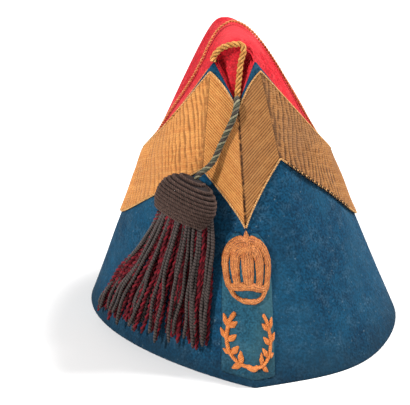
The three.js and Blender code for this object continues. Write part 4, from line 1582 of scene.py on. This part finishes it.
@dataclass
class Cords:
    """The pipings on the crown and the thick cord over the front fold."""

    form: CapForm
    seam_radius: float = 0.8
    edge_radius: float = 0.7
    fold_radius: float = 1.7
    lift: float = 0.3
    # turn, row
    seam_rows: tuple[Row, ...] = (
        (-0.49, 1), (-0.443, 1.16), (-0.4, 1.25), (-0.372, 1.36), (-0.373, 1.5),
        (-0.4, 1.65), (-0.425, 1.8), (-0.425, 1.93), (0.435, 1.97), (0.435, 1.85),
        (0.41, 1.7), (0.39, 1.5), (0.4, 1.3), (0.425, 1.15), (0.45, 1.06), (0.475, 1),
    )
    edge_rows: tuple[Row, ...] = (
        (-0.225, 1.045), (-0.26, 1.045), (-0.3, 1.045), (-0.34, 1.045), (-0.38, 1.045),
        (-0.42, 1.045), (-0.46, 1.045), (-0.5, 1.045), (-0.54, 1.045),
    )
    fold_rows: tuple[Row, ...] = (
        (-0.195, 1.01), (-0.15, 1.02), (-0.09, 1.03), (-0.043, 1.04), (0.004, 1.05),
        (0.036, 1.02), (0.047, 0.87), (0.028, 0.66), (0.016, 0.43), (0.003, 0.24),
        (0.001, 0.12),
    )

    def lay(self, name: str, rows: tuple[Row, ...], rope: Rope, facing: Row) -> bpy.types.Object:
        """Lays a cord along a table of turns and rows on the crown.

        Args:
            name: Name of the piece.
            rows: Turns and rows of its knots.
            rope: Its section.
            facing: A way that is square to it, roughly.

        Returns:
            The piece.
        """
        stand = self.form.clearance + rope.radius + self.lift
        table = np.array(rows)
        knots = self.form.crown(table[:, 0], table[:, 1], -stand)
        path = smooth_path(knots, rope.radius * 0.3)
        return rope_piece(name, rope, path[None], np.array(facing, float))

    def build(self, palette: Palette) -> None:
        """Makes the three cords."""
        seam = self.lay("seam_cord", self.seam_rows, Rope(self.seam_radius, 2, 3.6, 12), (0, -1, 0.2))
        dress(seam, palette.pale_cord, "gold_cord", "seam_piping")
        edge = self.lay("edge_cord", self.edge_rows, Rope(self.edge_radius, 2, 2.6, 10), (0, -1, 0.2))
        dress(edge, palette.pale_cord, "gold_cord", "edge_piping")
        fold = self.lay("front_cord", self.fold_rows, Rope(self.fold_radius, 3, 8.4, 24), (0, -1, 0))
        dress(fold, palette.gold_cord, "gold_cord", "fold_cord")


@dataclass(frozen=True)
class Bar:
    """A bar of stitches: its line, its width in mm, and shares of the width at its ends."""

    line: tuple[Row, ...]
    width: float
    root: float = 1.0
    tip: float = 1.0


@dataclass
class Badge:
    """The cloth patch, the embroidered crown and the wreath on the front crease."""

    form: CapForm
    half_width: float = 13.6
    top_share: float = 0.55
    lean: float = 5.5
    patch_thickness: float = 0.55
    stitch_height: float = 1.1
    bar_width: float = 3.0
    leaf_width: float = 2.9
    # share, half width
    patch_rows: tuple[Row, ...] = (
        (0.03, 0.97), (0.04, 1.03), (0.14, 1), (0.24, 0.98), (0.34, 0.95), (0.42, 0.88),
        (0.48, 0.7), (0.52, 0.45), (0.535, 0.2),
    )
    # across, share
    band: tuple[Row, ...] = ((-0.7, 0.328), (-0.36, 0.341), (0, 0.362), (0.36, 0.341), (0.7, 0.328))
    lower_curve: tuple[Row, ...] = (
        (-0.69, 0.333), (-0.5, 0.308), (-0.22, 0.302), (0, 0.311), (0.22, 0.302), (0.5, 0.308),
        (0.69, 0.333),
    )
    outer_arch: tuple[Row, ...] = (
        (0.67, 0.322), (0.78, 0.382), (0.76, 0.425), (0.58, 0.468), (0.3, 0.504), (0.02, 0.53),
    )
    inner_arch: tuple[Row, ...] = (
        (0.38, 0.337), (0.45, 0.4), (0.4, 0.45), (0.22, 0.484), (0.04, 0.492),
    )
    middle_post: tuple[Row, ...] = ((0, 0.36), (0, 0.41), (0, 0.46), (0, 0.512))
    spike: tuple[Row, ...] = ((0, 0.475), (0, 0.52), (0, 0.565))
    tie: tuple[Row, ...] = ((-0.19, 0.079), (0, 0.072), (0.19, 0.079))
    stem: tuple[Row, ...] = (
        (0.08, 0.075), (0.42, 0.08), (0.71, 0.108), (0.8, 0.157), (0.68, 0.215), (0.5, 0.25),
    )
    # across, share, reach across, reach in share
    leaves: tuple[Row, ...] = (
        (0.36, 0.078, 0.3, -0.024), (0.36, 0.078, 0, 0.046), (0.68, 0.104, 0.26, 0.008),
        (0.66, 0.102, -0.24, 0.036), (0.8, 0.148, 0.2, 0.032), (0.78, 0.142, -0.3, 0.032),
        (0.75, 0.19, 0.14, 0.042), (0.74, 0.19, -0.3, 0.03),
    )

    def front(self, offset: np.ndarray, share: np.ndarray, out: np.ndarray | float) -> np.ndarray:
        """Gives points of the front panel by their offset in mm from the crease.

        The place is found by halving, and the badge's shift widens its left half.

        Args:
            offset: Offsets in mm, negative on the viewer's left.
            share: Shares up the flank.
            out: Stand in mm.

        Returns:
            The points, in mm.
        """
        offset, share, out = np.broadcast_arrays(offset, share, out)
        side = np.where(offset < 0, -1, 1)
        shift = self.lean * np.maximum(self.top_share - share, 0) / self.half_width
        across = np.abs(offset * (1 - side * shift))
        low, high = np.zeros(offset.shape), np.full(offset.shape, 0.3)
        for _ in range(22):
            middle = (low + high) / 2
            rim, edge = self.form.rim(side, middle), self.form.edge(middle)
            reach = rim[..., 0] + (edge[..., 0] - rim[..., 0]) * share
            low = np.where(reach < across, middle, low)
            high = np.where(reach < across, high, middle)
        return self.form.wall(side * low, share, out)

    def build_patch(self, palette: Palette) -> bpy.types.Object:
        """Makes the patch: a thin felt shape whose edges round down to the turban.

        Args:
            palette: The materials.

        Returns:
            The piece.
        """
        rows = np.array(self.patch_rows)
        share = np.linspace(rows[0, 0], rows[-1, 0], 90)
        half = np.interp(share, rows[:, 0], rows[:, 1]) * self.half_width
        column = np.linspace(-1, 1, 61)
        near = self.form.clearance + 0.05
        falls = np.minimum(1 - np.abs(column)[None], 0.12) / 0.12
        ends = np.minimum(np.minimum(np.arange(90), np.arange(90)[::-1]), 2)[:, None] / 2
        height = self.patch_thickness * np.sqrt(falls * ends)
        offset = column[None] * half[:, None]
        face = self.front(offset, share[:, None], near + height)
        back = self.front(offset, share[:, None], near)
        points = np.concatenate([face, back[:, ::-1]], axis=1)
        piece = write_mesh("patch_felt", points, [grid_faces(90, points.shape[1], True)])
        weld(piece, 0.002)
        turn_outwards(piece)
        dress(piece, palette.teal, "patch_cloth", "badge_patch")
        return piece

    def bar(self, bar: Bar) -> tuple[np.ndarray, np.ndarray]:
        """Makes one bar: half an ellipse carried along its line, rounded off at the ends.

        Args:
            bar: The bar, with knots of across, a share of the half width, and share.

        Returns:
            Points of shape (rings, sides, 3) and texture coordinates with one more column.
        """
        rise = float(np.hypot(self.form.edge(np.array(0.0))[1] + self.form.rim_half_length,
                              self.form.edge(np.array(0.0))[2]))
        knots = np.array([(across * self.half_width, share * rise, 0) for across, share in bar.line])
        path = smooth_path(knots, 0.4)
        along = np.gradient(path, axis=0)
        along /= np.linalg.norm(along, axis=1, keepdims=True)
        count = len(path)
        from_end = np.minimum(np.arange(count), np.arange(count)[::-1]) * 0.4 / (bar.width / 2)
        girth = np.sqrt(1 - (1 - np.minimum(from_end + 0.05, 1)) ** 2)
        run = np.linspace(0, 1, count)
        girth = girth * np.interp(run, (0, 0.45, 1), (bar.root, 1, bar.tip))
        girth = girth * (1 + 0.05 * ripple(path[:, 0] * 3, path[:, 1] * 3, 31))
        turn = np.linspace(0, np.pi, 13)
        beside = np.concatenate([np.cos(turn), np.cos(turn[::-1][1:-1])])
        height = np.concatenate([np.sin(turn), 0 * turn[1:-1]])
        half = bar.width / 2 * girth[:, None] * beside
        base = 2 * self.form.clearance + 0.05 + self.patch_thickness
        points = self.front(
            path[:, :1] - along[:, 1:2] * half,
            (path[:, 1:2] + along[:, :1] * half) / rise,
            base - 0.25 + (self.stitch_height + 0.25) * height * girth[:, None],
        )
        length = np.arange(count)[:, None] * 0.4 + 0 * half
        uv = np.stack([half, length], -1)
        return points, np.concatenate([uv, uv[:, :1]], axis=1)

    def build_bars(
        self, name: str, node: str, bars: list[Bar], material: bpy.types.Material
    ) -> bpy.types.Object:
        """Makes one piece of several bars.

        Args:
            name: Name of the piece.
            node: The part's node that it stands for.
            bars: The bars.
            material: The thread's material.

        Returns:
            The piece.
        """
        points, faces, caps, uv = [], [], [], []
        start = 0
        for bar in bars:
            ring_points, ring_uv = self.bar(bar)
            rings, sides, _ = ring_points.shape
            points.append(ring_points.reshape(-1, 3))
            faces.append(grid_faces(rings, sides, True) + start)
            uv.append(grid_uv(ring_uv))
            ends = np.stack([np.arange(sides)[::-1], np.arange(sides) + (rings - 1) * sides])
            caps.append(ends + start)
            start += rings * sides
        cap = np.concatenate(caps)
        piece = write_mesh(
            name,
            np.concatenate(points),
            [np.concatenate(faces), cap],
            [np.concatenate(uv), np.zeros((*cap.shape, 2))],
        )
        turn_outwards(piece)
        dress(piece, material, "embroidery_thread", node)
        return piece

    def mirrored(self, line: tuple[Row, ...]) -> list[tuple[Row, ...]]:
        """Gives a line and its mirror image."""
        return [line, tuple((-across, share) for across, share in line)]

    def build(self, palette: Palette) -> None:
        """Makes the patch, the crown and the wreath."""
        self.build_patch(palette)
        wide = self.bar_width
        bars = [Bar(line, 1.5 * wide, 0.8, 1.1) for line in self.mirrored(self.inner_arch)]
        bars += [Bar(line, 1.1 * wide, 1, 1) for line in self.mirrored(self.outer_arch)]
        bars += [Bar(self.middle_post, 2 * wide, 0.8, 1), Bar(self.spike, 1.4 * wide, 1.6, 0.12)]
        bars += [Bar(self.band, 1.13 * wide), Bar(self.lower_curve, 0.87 * wide)]
        self.build_bars("stitched_crown", "crown_badge", bars, palette.couched)
        bars = [Bar(line, 0.6 * wide) for line in self.mirrored(self.stem)]
        bars.append(Bar(self.tie, wide))
        for across, share, reach, rise in self.leaves:
            middle = (across + reach / 2, share + rise / 2)
            line = ((across, share), middle, (across + reach, share + rise))
            bars += [Bar(part, self.leaf_width, 0.45, 0.3) for part in self.mirrored(line)]
        self.build_bars("stitched_wreath", "wreath_badge", bars, palette.satin)


def main() -> None:
    """Builds the scene: studio and cords first, then the cap's pieces."""
    logging.basicConfig(level=logging.INFO, format="%(message)s")
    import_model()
    form = CapForm()
    palette = Palette()
    studio = Studio()
    studio.place_camera()
    head = TasselHead(form)
    TasselCord(form, head).build(palette, head.build(palette))
    TasselStrands(form).build(palette)
    Cords(form).build(palette)
    Turban(form).build(palette)
    Crown(form).build(palette)
    for side in Side:
        braid = Braid(form, side)
        braid.build(palette)
        braid.build_edging(palette)
    EdgeLoops(form, Side.RIGHT, 0.225, 0.43, 17).build("dark_edge_stitches", palette.dark_thread)
    EdgeLoops(form, Side.LEFT, 0.315, 0.36, 4, True).build("gold_edge_stitches", palette.gold_cord)
    Badge(form).build(palette)
    studio.lay_floor()
    studio.light_scene()


if __name__ == "__main__":
    main()
